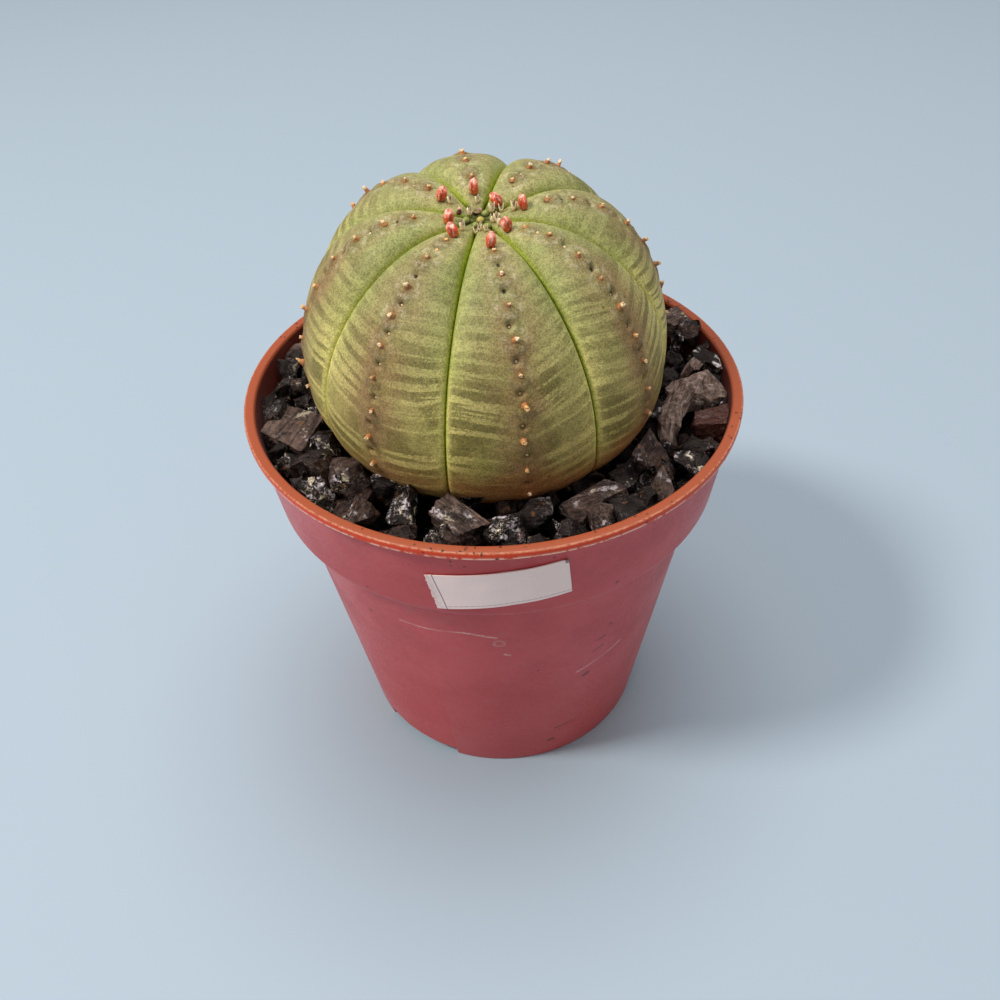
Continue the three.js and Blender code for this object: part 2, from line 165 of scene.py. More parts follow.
# Large stones, by number, whose places are taken by stones set one by one.
REPLACED_STONES = (6, 12, 13, 14)
# Between these azimuths the stones thrown in by rule lie this much deeper, under those set one by one.
FACING_SECTOR = (-47, 36)
FACING_DROP = 1.3
# Stones set one by one: middle, length, breadth, height, heading, tilt, finish.
FACING_STONES = (
    ((24.6, 12.4, 50.7), (4.8, 3.4, 1.7), 30, 0.15, "slab"),
    ((25.9, 9.6, 50.3), (3.0, 2.8, 3.9), 20, 0.0, "rust"),
    ((24.0, 9.2, 49.2), (1.8, 1.9, 3.8), 60, 0.1, "glint"),
    ((22.9, 6.0, 48.7), (2.6, 2.4, 2.6), 10, 0.3, "black"),
    ((22.0, 2.4, 47.9), (3.4, 2.8, 3.4), 40, 0.2, "black"),
    ((27.4, 3.8, 50.0), (4.8, 2.6, 2.6), -58, 0.25, "glint"),
    ((26.9, -4.4, 49.6), (1.6, 1.4, 1.3), 0, 0.2, "glint"),
    ((25.3, -7.9, 49.1), (4.3, 3.0, 3.4), 4, 0.0, "red"),
    ((24.6, 1.6, 50.6), (2.4, 1.5, 2.4), 60, 0.5, "grain"),
    ((27.6, 0.4, 49.2), (2.0, 1.6, 2.2), 80, 0.2, "black"),
    ((27.0, 7.2, 50.0), (2.2, 1.8, 2.2), 30, 0.2, "black"),
    ((20.4, -2.6, 47.9), (1.8, 2.2, 3.0), 80, 0.1, "umber"),
    ((20.0, -10.4, 47.1), (2.0, 2.6, 3.0), 70, 0.2, "umber"),
    ((24.9, -11.2, 48.1), (2.8, 2.4, 2.6), 20, 0.2, "brown"),
    ((22.4, -14.0, 48.4), (5.0, 2.6, 2.9), -52, 0.25, "glint"),
    ((18.4, -14.6, 47.9), (3.2, 2.8, 3.2), 15, 0.3, "brown"),
    ((15.4, -14.2, 47.5), (2.6, 2.4, 3.2), 60, -0.2, "rust"),
    ((-4.1, -22.9, 48.9), (6.0, 3.6, 3.8), -50, 0.1, "layered"),
    ((-6.6, -24.9, 48.2), (2.6, 2.2, 2.2), 20, 0.1, "glint"),
    ((-23.5, -12.6, 49.3), (3.1, 1.9, 2.6), -30, 0.3, "glint"),
    ((-20.9, -13.5, 49.2), (3.2, 2.4, 2.8), 50, -0.2, "glint"),
    ((-20.2, -15.9, 48.9), (2.3, 1.7, 2.2), 40, 0.2, "glint"),
)
# Finish of a stone: brown share, red share, paleness, share of bright mineral and of painted glints.
STONE_FINISH = {
    "black": (0.05, 0.0, 0.0, 0.25),
    "glint": (0.12, 0.2, 0.06, 1.0),
    "slab": (0.8, 0.05, 0.22, 0.5),
    "brown": (0.6, 0.3, 0.1, 0.45),
    "umber": (0.55, 0.15, 0.05, 0.35),
    "layered": (0.5, 0.0, 0.3, 0.6),
    "grain": (0.8, 0.0, 0.8, 0.3),
    "rust": (0.6, 0.5, 0.15, 0.35),
    "red": (0.2, 1.0, 0.0, 0.0),
}

# Marks on the pot: pale scratches and dark specks, each from a start to an end, with its half width.
SCRATCHES = (
    ((-12.1, -21.8, 32.9), (-9.1, -23.2, 32.8), 0.09),
    ((-9.1, -23.2, 32.8), (-4.4, -24.6, 33.3), 0.11),
    ((-4.4, -24.6, 33.3), (-0.7, -24.9, 32.4), 0.13),
    ((9.2, -21.2, 20.8), (14.9, -18.1, 23.0), 0.17),
    ((0.1, -24.3, 28.7), (0.7, -24.2, 28.4), 0.14),
)
SPECKS = (
    ((10.2, -20.4, 19.2), (10.6, -20.3, 19.4), 0.42),
    ((12.2, -21.8, 30.9), (13.1, -21.3, 31.3), 0.22),
    ((14.4, -20.4, 31.0), (15.2, -19.8, 30.9), 0.24),
    ((13.0, -20.6, 29.2), (13.3, -20.4, 29.0), 0.2),
    ((11.6, -21.0, 26.6), (12.6, -20.4, 26.9), 0.18),
    ((11.2, -20.8, 24.4), (12.4, -20.2, 24.8), 0.16),
    ((12.8, -24.8, 41.1), (12.9, -24.8, 41.2), 0.22),
    ((-15.8, -19.0, 31.7), (-15.9, -18.9, 31.7), 0.28),
    ((-14.8, -23.6, 40.7), (-14.9, -23.6, 40.7), 0.18),
    ((-20.3, -18.3, 42.5), (-20.2, -18.5, 42.0), 0.25),
    ((-21.0, -17.6, 43.6), (-20.8, -17.8, 43.4), 0.2),
    ((4.1, -23.2, 23.9), (4.2, -23.2, 24.0), 0.15),
    ((5.8, -19.6, 3.9), (6.3, -19.5, 4.0), 0.34),
    ((6.6, -19.9, 7.1), (9.4, -18.6, 7.4), 0.2),
)


# ---------------------------------------------------------------- settings


def length(label, description, default):
    return FloatProperty(name=label, description=description, default=default, min=0.0, soft_max=60.0)


def colour(label, description, default):
    return FloatVectorProperty(
        name=label, description=description, default=default, size=3, min=0.0, max=1.0, subtype="COLOR"
    )


class SkinSettings(bpy.types.PropertyGroup):
    """Shape and colours of the plant's ribbed skin"""

    radius: length("Radius", "Radius of the smooth body at its widest, in millimetres", 20.9)
    upper_height: length("Upper height", "Height of the body above its widest ring, in millimetres", 19.4)
    lower_height: length("Lower height", "Depth of the body below its widest ring, in millimetres", 11.2)
    rib_height: length("Rib height", "Height of a rib's crest at the side, in millimetres", 0.3)
    shoulder_height: length(
        "Shoulder height", "Extra height of a crest on the shoulder, in millimetres", 1.5
    )
    rib_power: length(
        "Rib fullness", "Power of the rib's section: higher is fuller, with narrower furrows", 4.6
    )
    crease_depth: length("Crease depth", "Depth of the sharp crease in each furrow, in millimetres", 0.36)
    tubercle_height: length(
        "Tubercle height", "Height of the swelling under each stalk scar, in millimetres", 0.3
    )
    dimple_depth: length(
        "Dimple depth", "Depth of the leaf scar between two stalk scars, in millimetres", 0.5
    )
    wrinkle_depth: length("Wrinkle depth", "Depth of the cross wrinkles, in millimetres", 0.12)
    sage: colour("Sage", "Main colour of the skin", (0.306, 0.290, 0.115))
    band: colour("Band", "Colour of the darker cross bands", (0.114, 0.109, 0.037))
    haze: colour("Haze", "Colour of the dull bloom along each crest", (0.30, 0.168, 0.088))
    furrow: colour("Furrow", "Colour of the young skin in the furrows", (0.37, 0.45, 0.012))
    cork: colour("Cork", "Colour of the old skin close to the grit", (0.40, 0.14, 0.048))


class BudSettings(bpy.types.PropertyGroup):
    """Size and colours of the flower buds"""

    radius: length("Radius", "Half the width of a bud, in millimetres", 0.62)
    height: length("Height", "Length of a bud, in millimetres", 1.62)
    flesh: colour("Flesh", "Main colour of a bud", (0.70, 0.078, 0.020))
    blush: colour("Blush", "Paler pink of the bud's top and edges", (0.92, 0.33, 0.21))


class GritSettings(bpy.types.PropertyGroup):
    """Stones of the top dressing"""

    seed: IntProperty(name="Seed", description="Seed of the stones' places and shapes", default=30, min=0)
    bed_top: length("Bed", "Height of the bed that the stones lie on, in millimetres", 46.6)
    chips: IntProperty(
        name="Chips", description="Number of small chips between the stones", default=200, min=0
    )
    slag: colour("Slag", "Colour of the glassy stone", (0.005, 0.0042, 0.004))
    earth: colour("Earth", "Colour of the dull brown-grey faces", (0.042, 0.0228, 0.0186))
    pale: colour("Pale", "Colour of the palest faces", (0.30, 0.21, 0.17))


class PotSettings(bpy.types.PropertyGroup):
    """Colours and finish of the plastic pot"""

    side: colour("Side", "Colour of the pot's side", (0.56, 0.070, 0.075))
    # The flange is the same plastic as the side; its orange colour is painted warm light.
    rim: colour("Rim", "Colour of the flange", (0.335, 0.070, 0.025))
    # The inner wall's dark red is partly soil stain and partly painted shade.
    inside: colour("Inside", "Colour of the inner wall", (0.11, 0.018, 0.010))
    segments: IntProperty(name="Segments", description="Facets round the pot", default=224, min=24)


class StripSettings(bpy.types.PropertyGroup):
    """The blank paper strip"""

    length: length("Length", "Length of the strip, in millimetres", 15.2)
    width: length("Width", "Width of the strip, in millimetres", 5.9)
    azimuth: FloatProperty(
        name="Azimuth", description="Where the strip's middle is round the pot, in degrees", default=-90.3
    )
    middle: length("Height", "Height of the strip's middle, in millimetres", 44.6)
    skew: FloatProperty(
        name="Skew", description="How far the strip is turned out of level, in degrees", default=7.5
    )
    paper: colour("Paper", "Colour of the paper", (1.0, 0.77, 0.72))


class StageSettings(bpy.types.PropertyGroup):
    """Floor, lights and camera"""

    floor: colour("Floor", "Colour of the floor", (0.36, 0.44, 0.51))
    key: FloatProperty(
        name="Key", description="Power of the main light", default=4.2, min=0.0, subtype="POWER"
    )
    overhead: FloatProperty(
        name="Overhead", description="Power of the broad light above", default=3.6, min=0.0, subtype="POWER"
    )
    sky: FloatProperty(
        name="Sky", description="Strength of the even light from all round", default=0.42, min=0.0
    )


class PlantSettings(bpy.types.PropertyGroup):
    """All settings of the potted baseball plant"""

    skin: PointerProperty(type=SkinSettings)
    bud: PointerProperty(type=BudSettings)
    grit: PointerProperty(type=GritSettings)
    pot: PointerProperty(type=PotSettings)
    strip: PointerProperty(type=StripSettings)
    stage: PointerProperty(type=StageSettings)


def settings():
    return bpy.context.scene.baseball_plant


# ---------------------------------------------------------------- node trees


class Graph:
    """Short calls that add nodes to a shader or geometry tree and join them up."""

    def __init__(self, tree):
        self.tree = tree

    def feed(self, socket, value):
        if isinstance(value, bpy.types.NodeSocket):
            self.tree.links.new(value, socket)
        elif socket.type == "RGBA":
            socket.default_value = (*value[:3], 1)
        else:
            socket.default_value = value

    def add(self, kind, inputs=None, **properties):
        node = self.tree.nodes.new(kind)
        for name, value in properties.items():
            setattr(node, name, value)
        self.fill(node, inputs or {})
        return node

    def fill(self, node, values):
        """Sets or joins several inputs of a node."""
        for key, value in values.items():
            self.feed(node.inputs[key], value)

    def math(self, operation, a, b=0.0, clamp=False):
        return self.add("ShaderNodeMath", {0: a, 1: b}, operation=operation, use_clamp=clamp).outputs[0]

    def less(self, a, b):
        return self.math("SUBTRACT", a, b)

    def product(self, *factors):
        total = factors[0]
        for factor in factors[1:]:
            total = self.math("MULTIPLY", total, factor)
        return total

    def total(self, *terms):
        total = terms[0]
        for term in terms[1:]:
            total = self.math("ADD", total, term)
        return total

    def vector(self, operation, a, b=(0, 0, 0)):
        node = self.add("ShaderNodeVectorMath", {0: a, 1: b}, operation=operation)
        return node.outputs[1] if operation in ("LENGTH", "DOT_PRODUCT", "DISTANCE") else node.outputs[0]

    def scaled(self, vector, factors):
        return self.vector("MULTIPLY", vector, factors)

    def sized(self, vector, factor):
        return self.add("ShaderNodeVectorMath", {0: vector, "Scale": factor}, operation="SCALE").outputs[0]

    def parts(self, vector):
        return self.add("ShaderNodeSeparateXYZ", {0: vector}).outputs

    def joined(self, x, y=0.0, z=0.0):
        return self.add("ShaderNodeCombineXYZ", {0: x, 1: y, 2: z}).outputs[0]

    def bell(self, value, centre, spread):
        """1 where value is centre, falling off smoothly over spread."""
        off = self.math("DIVIDE", self.less(value, centre), spread)
        return self.math("EXPONENT", self.product(off, off, -1.0))

    def step(self, value, low, high, bottom=0.0, top=1.0):
        """Smooth change from bottom, where value is low, to top, where it is high."""
        node = self.add(
            "ShaderNodeMapRange",
            {"Value": value, "From Min": low, "From Max": high, "To Min": bottom, "To Max": top},
            interpolation_type="SMOOTHSTEP",
        )
        return node.outputs[0]

    def mix(self, factor, a, b, mode="MIX"):
        values = {0: factor, 6: a, 7: b}
        node = self.add("ShaderNodeMix", values, data_type="RGBA", blend_type=mode, clamp_factor=True)
        return node.outputs[2]

    def tinted(self, base, tint):
        return self.mix(1.0, base, tint, "MULTIPLY")

    def grey(self, level):
        return self.add("ShaderNodeCombineColor", {0: level, 1: level, 2: level}).outputs[0]

    def noise(self, vector, scale, detail=2.0, roughness=0.5):
        values = {"Vector": vector, "Scale": scale, "Detail": detail, "Roughness": roughness}
        return self.add("ShaderNodeTexNoise", values).outputs[0]

    def cells(self, vector, scale):
        return self.add("ShaderNodeTexVoronoi", {"Vector": vector, "Scale": scale}).outputs

    def to_line(self, spot, start, end):
        """Distance from a spot to the straight line between two points."""
        run = Vector(end) - Vector(start)
        gone = self.vector("SUBTRACT", spot, start)
        ahead = self.vector("DOT_PRODUCT", gone, run)
        share = self.math("DIVIDE", ahead, max(run.length_squared, 1e-6), clamp=True)
        along = self.scaled(self.joined(share, share, share), run)
        return self.vector("LENGTH", self.vector("SUBTRACT", gone, along))

    def field(self, name, output="Vector"):
        """An attribute of the mesh, read in a material."""
        node = self.add("ShaderNodeAttribute", attribute_name=name, attribute_type="GEOMETRY")
        return node.outputs[output]

    def number(self, name):
        return self.field(name, "Fac")

    def named(self, name, kind="FLOAT_VECTOR"):
        """An attribute of the mesh, read in a geometry tree."""
        return self.add("GeometryNodeInputNamedAttribute", {"Name": name}, data_type=kind).outputs[0]

    def bump(self, height, strength, distance, normal=None):
        node = self.add("ShaderNodeBump", {"Height": height, "Strength": strength, "Distance": distance})
        if normal is not None:
            self.feed(node.inputs["Normal"], normal)
        return node.outputs[0]


def finish_named(name):
    """A new material, its graph, its Principled surface, and the place on the object in millimetres."""
    material = bpy.data.materials.new(name)
    material.use_nodes = True
    graph = Graph(material.node_tree)
    surface = next(n for n in graph.tree.nodes if n.type == "BSDF_PRINCIPLED")
    spot = graph.sized(graph.add("ShaderNodeTexCoord").outputs["Object"], 1 / MM)
    return material, graph, surface, spot


def geometry_tree(name, extra):
    """An empty geometry tree with named inputs: (label, socket kind, default)."""
    tree = bpy.data.node_groups.new(name, "GeometryNodeTree")
    tree.interface.new_socket("Geometry", in_out="INPUT", socket_type="NodeSocketGeometry")
    for label, kind, default in extra:
        socket = tree.interface.new_socket(label, in_out="INPUT", socket_type="NodeSocket" + kind)
        if default is not None:
            socket.default_value = default
    tree.interface.new_socket("Geometry", in_out="OUTPUT", socket_type="NodeSocketGeometry")
    graph = Graph(tree)
    return graph, graph.add("NodeGroupInput").outputs


def close_tree(graph, geometry, material):
    real = graph.add("GeometryNodeRealizeInstances", {0: geometry})
    dressed = graph.add("GeometryNodeSetMaterial", {"Geometry": real.outputs[0], "Material": material})
    graph.feed(graph.add("NodeGroupOutput").inputs[0], dressed.outputs[0])


def keep_result(thing, all_layers):
    """Makes what an object's modifiers give its plain mesh."""
    bpy.context.view_layer.update()
    graph = bpy.context.evaluated_depsgraph_get()
    result = thing.evaluated_get(graph)
    mesh = bpy.data.meshes.new_from_object(result, preserve_all_data_layers=all_layers, depsgraph=graph)
    thing.modifiers.clear()
    thing.data = mesh


def apply_tree(thing, tree, values):
    """Runs a geometry tree on an object and keeps the result as its plain mesh."""
    modifier = thing.modifiers.new(tree.name, "NODES")
    modifier.node_group = tree
    for item in tree.interface.items_tree:
        if item.item_type == "SOCKET" and item.in_out == "INPUT" and item.name in values:
            modifier[item.identifier] = values[item.name]
    keep_result(thing, True)


# ---------------------------------------------------------------- mesh helpers


def new_object(name, mesh):
    thing = bpy.data.objects.new(name, mesh)
    bpy.context.scene.collection.objects.link(thing)
    return thing


def mesh_of(name, points, faces=()):
    """A mesh from points in millimetres."""
    mesh = bpy.data.meshes.new(name)
    mesh.from_pydata([tuple(float(c) * MM for c in p) for p in points], [], [tuple(f) for f in faces])
    mesh.update()
    return mesh


def store(mesh, name, values):
    """Keeps a number or a vector for each vertex as a named attribute."""
    values = np.asarray(values, np.float32)
    kind = "FLOAT" if values.ndim == 1 else "FLOAT_VECTOR"
    attribute = mesh.attributes.new(name, kind, "POINT")
    attribute.data.foreach_set("value" if kind == "FLOAT" else "vector", values.ravel())


def points_of(mesh):
    """The places of a mesh's vertices, one row each."""
    places = np.empty(len(mesh.vertices) * 3, np.float32)
    mesh.vertices.foreach_get("co", places)
    return places.reshape(-1, 3).astype(float)


def move_points(mesh, places):
    mesh.vertices.foreach_set("co", np.asarray(places, np.float32).ravel())
    mesh.update()


def smooth(mesh):
    mesh.polygons.foreach_set("use_smooth", [True] * len(mesh.polygons))
    mesh.update()


def around(radius, angle):
    return radius * math.cos(angle), radius * math.sin(angle)


def mesh_from(name, shape):
    """A mesh from a bmesh, which is freed."""
    mesh = bpy.data.meshes.new(name)
    shape.to_mesh(mesh)
    shape.free()
    return mesh


def outward(mesh, merge=True):
    """Turns the faces of a closed mesh outwards, after joining doubled vertices if asked."""
    shape = bmesh.new()
    shape.from_mesh(mesh)
    if merge:
        bmesh.ops.remove_doubles(shape, verts=shape.verts, dist=DOUBLE_GAP)
    bmesh.ops.recalc_face_normals(shape, faces=shape.faces)
    shape.to_mesh(mesh)
    shape.free()


def grid_faces(rows, columns, closed):
    """Quads of a grid of vertices stored row by row, closed round each row if asked."""
    faces = []
    for start in range(0, (rows - 1) * columns, columns):
        for c in range(columns if closed else columns - 1):
            after = (c + 1) % columns
            faces.append((start + c, start + after, start + columns + after, start + columns + c))
    return faces


def tube_faces(rows, columns):
    """Faces of a tube of vertices stored ring by ring, with a cap at each end."""
    first = tuple(range(columns))
    last = tuple(range((rows - 1) * columns, rows * columns))
    return grid_faces(rows, columns, True) + [first[::-1], last]


def poled_faces(rows, columns):
    """Faces of closed rings that run together in two poles, which are stored after the rings."""
    faces = grid_faces(rows, columns, True)
    pole = rows * columns
    last = pole - columns
    for c in range(columns):
        after = (c + 1) % columns
        faces += [(pole, after, c), (pole + 1, last + c, last + after)]
    return faces


def turned(name, profile, segments):
    """Closed surface of revolution about +Z. The profile starts and ends on the axis."""
    angle = np.linspace(0, 2 * math.pi, segments, endpoint=False)
    rings = profile[1:-1]
    points = [(*around(r, a), z) for r, z in rings for a in angle]
    points += [(0, 0, profile[0][1]), (0, 0, profile[-1][1])]
    mesh = mesh_of(name, points, poled_faces(len(rings), segments))
    outward(mesh)
    return mesh


def rounded(profile, radius):
    """The profile with each inner corner rounded off by a short curve."""
    steps = 4
    result = [profile[0]]
    for before, corner, after in zip(profile, profile[1:], profile[2:]):
        corner = np.array(corner, float)
        back = np.array(before, float) - corner
        ahead = np.array(after, float) - corner
        reach = min(radius, 0.45 * np.linalg.norm(back), 0.45 * np.linalg.norm(ahead))
        start = corner + back / np.linalg.norm(back) * reach
        end = corner + ahead / np.linalg.norm(ahead) * reach
        for i in range(steps + 1):
            t = i / steps
            result.append(tuple((1 - t) ** 2 * start + 2 * t * (1 - t) * corner + t * t * end))
    result.append(profile[-1])
    return result


def dress(thing, material, slot, *replaced):
    """Gives a finished piece its material and its place in the frame."""
    thing.data.materials.clear()
    thing.data.materials.append(material)
    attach(thing, BODY)
    if replaced:
        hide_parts(*replaced)


def discard(*things):
    for thing in things:
        bpy.data.objects.remove(thing)


# ---------------------------------------------------------------- copies set out on spots


def copies_tree():
    """Puts a copy of a pattern on each spot, turned, sized and picked by the spot's attributes."""
    graph, given = geometry_tree(
        "set out copies", [("Patterns", "Collection", None), ("Finish", "Material", None)]
    )
    chosen = {"Collection": given["Patterns"], "Separate Children": True, "Reset Children": True}
    patterns = graph.add("GeometryNodeCollectionInfo", chosen)
    turn = graph.add("FunctionNodeEulerToRotation", {0: graph.named("turn")}).outputs[0]
    copies = graph.add(
        "GeometryNodeInstanceOnPoints",
        {
            "Points": graph.add("GeometryNodeMeshToPoints", {"Mesh": given["Geometry"]}).outputs[0],
            "Instance": patterns.outputs[0],
            "Pick Instance": True,
            "Instance Index": graph.named("pick", "INT"),
            "Rotation": turn,
            "Scale": graph.named("size"),
        },
    )
    close_tree(graph, copies.outputs[0], given["Finish"])
    return graph.tree


def set_out(name, patterns, spots, material):
    """One mesh with a copy of a pattern on each spot: (point, turn, size, pick, tone).

    A tone's first three parts are kept as "tone", and a fourth as "shine".
    """
    shelf = bpy.data.collections.new(name + "_patterns")
    bpy.context.scene.collection.children.link(shelf)
    for number, mesh in enumerate(patterns):
        shelf.objects.link(bpy.data.objects.new(f"{name}_pattern_{number:03d}", mesh))
    thing = new_object(name, mesh_of(name, [s[0] for s in spots]))
    store(thing.data, "turn", [tuple(s[1]) for s in spots])
    store(thing.data, "size", [tuple(s[2]) for s in spots])
    store(thing.data, "tone", [tuple(s[4])[:3] for s in spots])
    store(thing.data, "shine", [sum(s[4][3:]) for s in spots])
    pick = thing.data.attributes.new("pick", "INT", "POINT")
    pick.data.foreach_set("value", [int(s[3]) for s in spots])
    tree = bpy.data.node_groups.get("set out copies") or copies_tree()
    apply_tree(thing, tree, {"Patterns": shelf, "Finish": material})
    discard(*shelf.objects)
    bpy.data.collections.remove(shelf)
    return thing


# ---------------------------------------------------------------- the plant's body


class Body:
    """Smooth body of the plant: places on it by rib, place across the rib and distance from the apex."""

    UPPER_POWER = 2.2
    LOWER_POWER = 2.14
    UNDERSIDE = math.radians(150)
    DIP = 0.85
    DIP_RADIUS = 8.0
    ROOT = ((7.2, -12.0), (4.4, -13.6), (3.2, -15.6), (2.4, -17.6), (0.0, -18.4))

    def __init__(self, skin):
        angle = np.linspace(0, self.UNDERSIDE, 700)
        across = np.abs(np.sin(angle))
        up = np.cos(angle)
        power = np.where(up > 0, self.UPPER_POWER, self.LOWER_POWER)
        height = np.where(up > 0, skin.upper_height, skin.lower_height)
        scale = (across**power + np.abs(up) ** power) ** (-1 / power)
        radius = skin.radius * scale * across
        dip = np.where(up > 0, self.DIP * np.exp(-((radius / self.DIP_RADIUS) ** 2)), 0)
        root = np.array(self.ROOT)
        self.radius = np.concatenate([radius, root[:, 0]])
        self.height = np.concatenate([height * scale * up - dip, root[:, 1]])
        run = np.hypot(np.diff(self.radius), np.diff(self.height))
        self.arc = np.concatenate([[0], np.cumsum(run)])
        self.lean = Matrix.Rotation(PLANT_LEAN, 3, "X")
        self.rib_height = skin.rib_height
        self.shoulder_height = skin.shoulder_height

    def section(self, arc):
        """Radius and height at a distance from the apex, and the outward direction there."""
        near = 0.05
        radius = float(np.interp(arc, self.arc, self.radius))
        height = float(np.interp(arc, self.arc, self.height))
        out = np.interp(arc + near, self.arc, self.radius) - np.interp(arc - near, self.arc, self.radius)
        down = np.interp(arc + near, self.arc, self.height) - np.interp(arc - near, self.arc, self.height)
        size = math.hypot(out, down) or 1.0
        return radius, height, (-down / size, out / size)

    @staticmethod
    def azimuth(rib, across):
        left = FURROWS[rib]
        right = FURROWS[rib + 1] if rib + 1 < len(FURROWS) else FURROWS[0] + 360
        return math.radians(left + (right - left) * (across + 1) / 2)

    def crest(self, rib, across, arc):
        """A point on a rib's crest: the smooth body raised by the height of the rib."""
        point, out = self.spot(rib, across, arc)
        shoulder = math.exp(-(((arc - SHOULDER_ARC) / SHOULDER_SPREAD) ** 2))
        young = 1 - math.exp(-((self.section(arc)[0] / CROWN_RADIUS) ** 2))
        return point + out * (self.rib_height + self.shoulder_height * shoulder) * young

    def spot(self, rib, across, arc):
        """A point of the smooth body and the outward direction at it, in the pot's frame."""
        radius, height, (side, rise) = self.section(arc)
        turn = self.azimuth(rib, across)
        point = Vector((radius * math.cos(turn), radius * math.sin(turn), height))
        out = Vector((side * math.cos(turn), side * math.sin(turn), rise))
        return self.lean @ point + PLANT_CENTRE, (self.lean @ out).normalized()


class Skin:
    """The finished skin, asked where its surface is."""

    tree = None
    body = None

    @classmethod
    def seat(cls, rib, across, arc):
        """The point of the ribbed skin at a place, and the smooth body's outward direction there."""
        point, out = cls.body.spot(rib, across, arc)
        hit = cls.tree.ray_cast((point + out * 6) * MM, -out)[0]
        return (hit / MM if hit else point), out


def scar_arcs(rib):
    if rib in SCARS:
        return SCARS[rib]
    first, step, growth = SCAR_GROWTH
    rand = random.Random(rib)
    start = first + rand.uniform(-0.6, 0.6)
    return tuple(start + step * k + growth * k * k + rand.uniform(-0.2, 0.2) for k in range(SCARS_PER_RIB))


def scar_places():
    """(rib, across, arc) of every stalk scar."""
    rand = random.Random(5)
    return [(rib, rand.uniform(-0.03, 0.03), arc) for rib in range(len(FURROWS)) for arc in scar_arcs(rib)]


def mound_places():
    """(rib, across, arc) of the swelling below each stalk scar."""
    return [(rib, across, arc + 0.75) for rib, across, arc in scar_places()]


def dimple_places():
    """(rib, across, arc) of the leaf scars, one below each stalk scar."""
    rand = random.Random(6)
    places = []
    for rib in range(len(FURROWS)):
        arcs = scar_arcs(rib)
        for upper, lower in zip(arcs, arcs[1:]):
            places.append(
                (rib, rand.uniform(-0.03, 0.03), upper + (lower - upper) * rand.uniform(0.5, 0.62))
            )
    return places


def rib_columns():
    """Places across one rib of the skin's columns, closer together at the crest and at the furrow."""
    half = 8.2
    crest = np.arange(0, 1.2, 0.17)
    flank = np.arange(1.2, 7.3, 0.62)
    edge = np.linspace(7.3, half, 8)[:-1]
    one = np.concatenate([crest, flank, edge]) / half
    return np.concatenate([[-1], -one[:0:-1], one])


def skin_rings(body):
    """Distances from the apex of the skin's rings."""
    fine = np.concatenate([np.arange(0.1, 1.3, 0.15), np.arange(1.3, 41.0, 0.21)])
    return np.concatenate([fine, np.linspace(41.3, body.arc[-1] - 0.5, 8)])


def smooth_body(body):
    """Skin before its ribs rise: a body of revolution that carries the place of each vertex."""
    across = np.tile(rib_columns(), len(FURROWS))
    rib = np.repeat(np.arange(len(FURROWS)), len(rib_columns()))
    turn = np.array([body.azimuth(r, w) for r, w in zip(rib, across)])
    gaps = np.radians(np.diff(np.append(FURROWS, FURROWS[0] + 360)))
    points, place, side, out, wrap = [], [], [], [], []

    def vertex(arc, column):
        radius, height, (flat, rise) = body.section(arc)
        cos, sin = math.cos(turn[column]), math.sin(turn[column])
        half = radius * gaps[rib[column]] / 2
        w = abs(across[column])
        points.append(body.lean @ Vector((radius * cos, radius * sin, height)) + PLANT_CENTRE)
        out.append(body.lean @ Vector((flat * cos, flat * sin, rise)))
        place.append((w * half, arc, (1 - w) * half))
        side.append((w, radius, rib[column]))
        wrap.append((WRAP_RADIUS * cos, WRAP_RADIUS * sin, arc))

    rings = skin_rings(body)
    for arc in rings:
        for column in range(len(across)):
            vertex(arc, column)
    apex = len(points)
    vertex(0.0, 0)
    vertex(body.arc[-1], 0)
    out[apex] = body.lean @ UP
    mesh = mesh_of("globe_skin", points, [f[::-1] for f in poled_faces(len(rings), len(across))])
    for name, values in {"place": place, "side": side, "out": out, "wrap": wrap}.items():
        store(mesh, name, values)
    return mesh


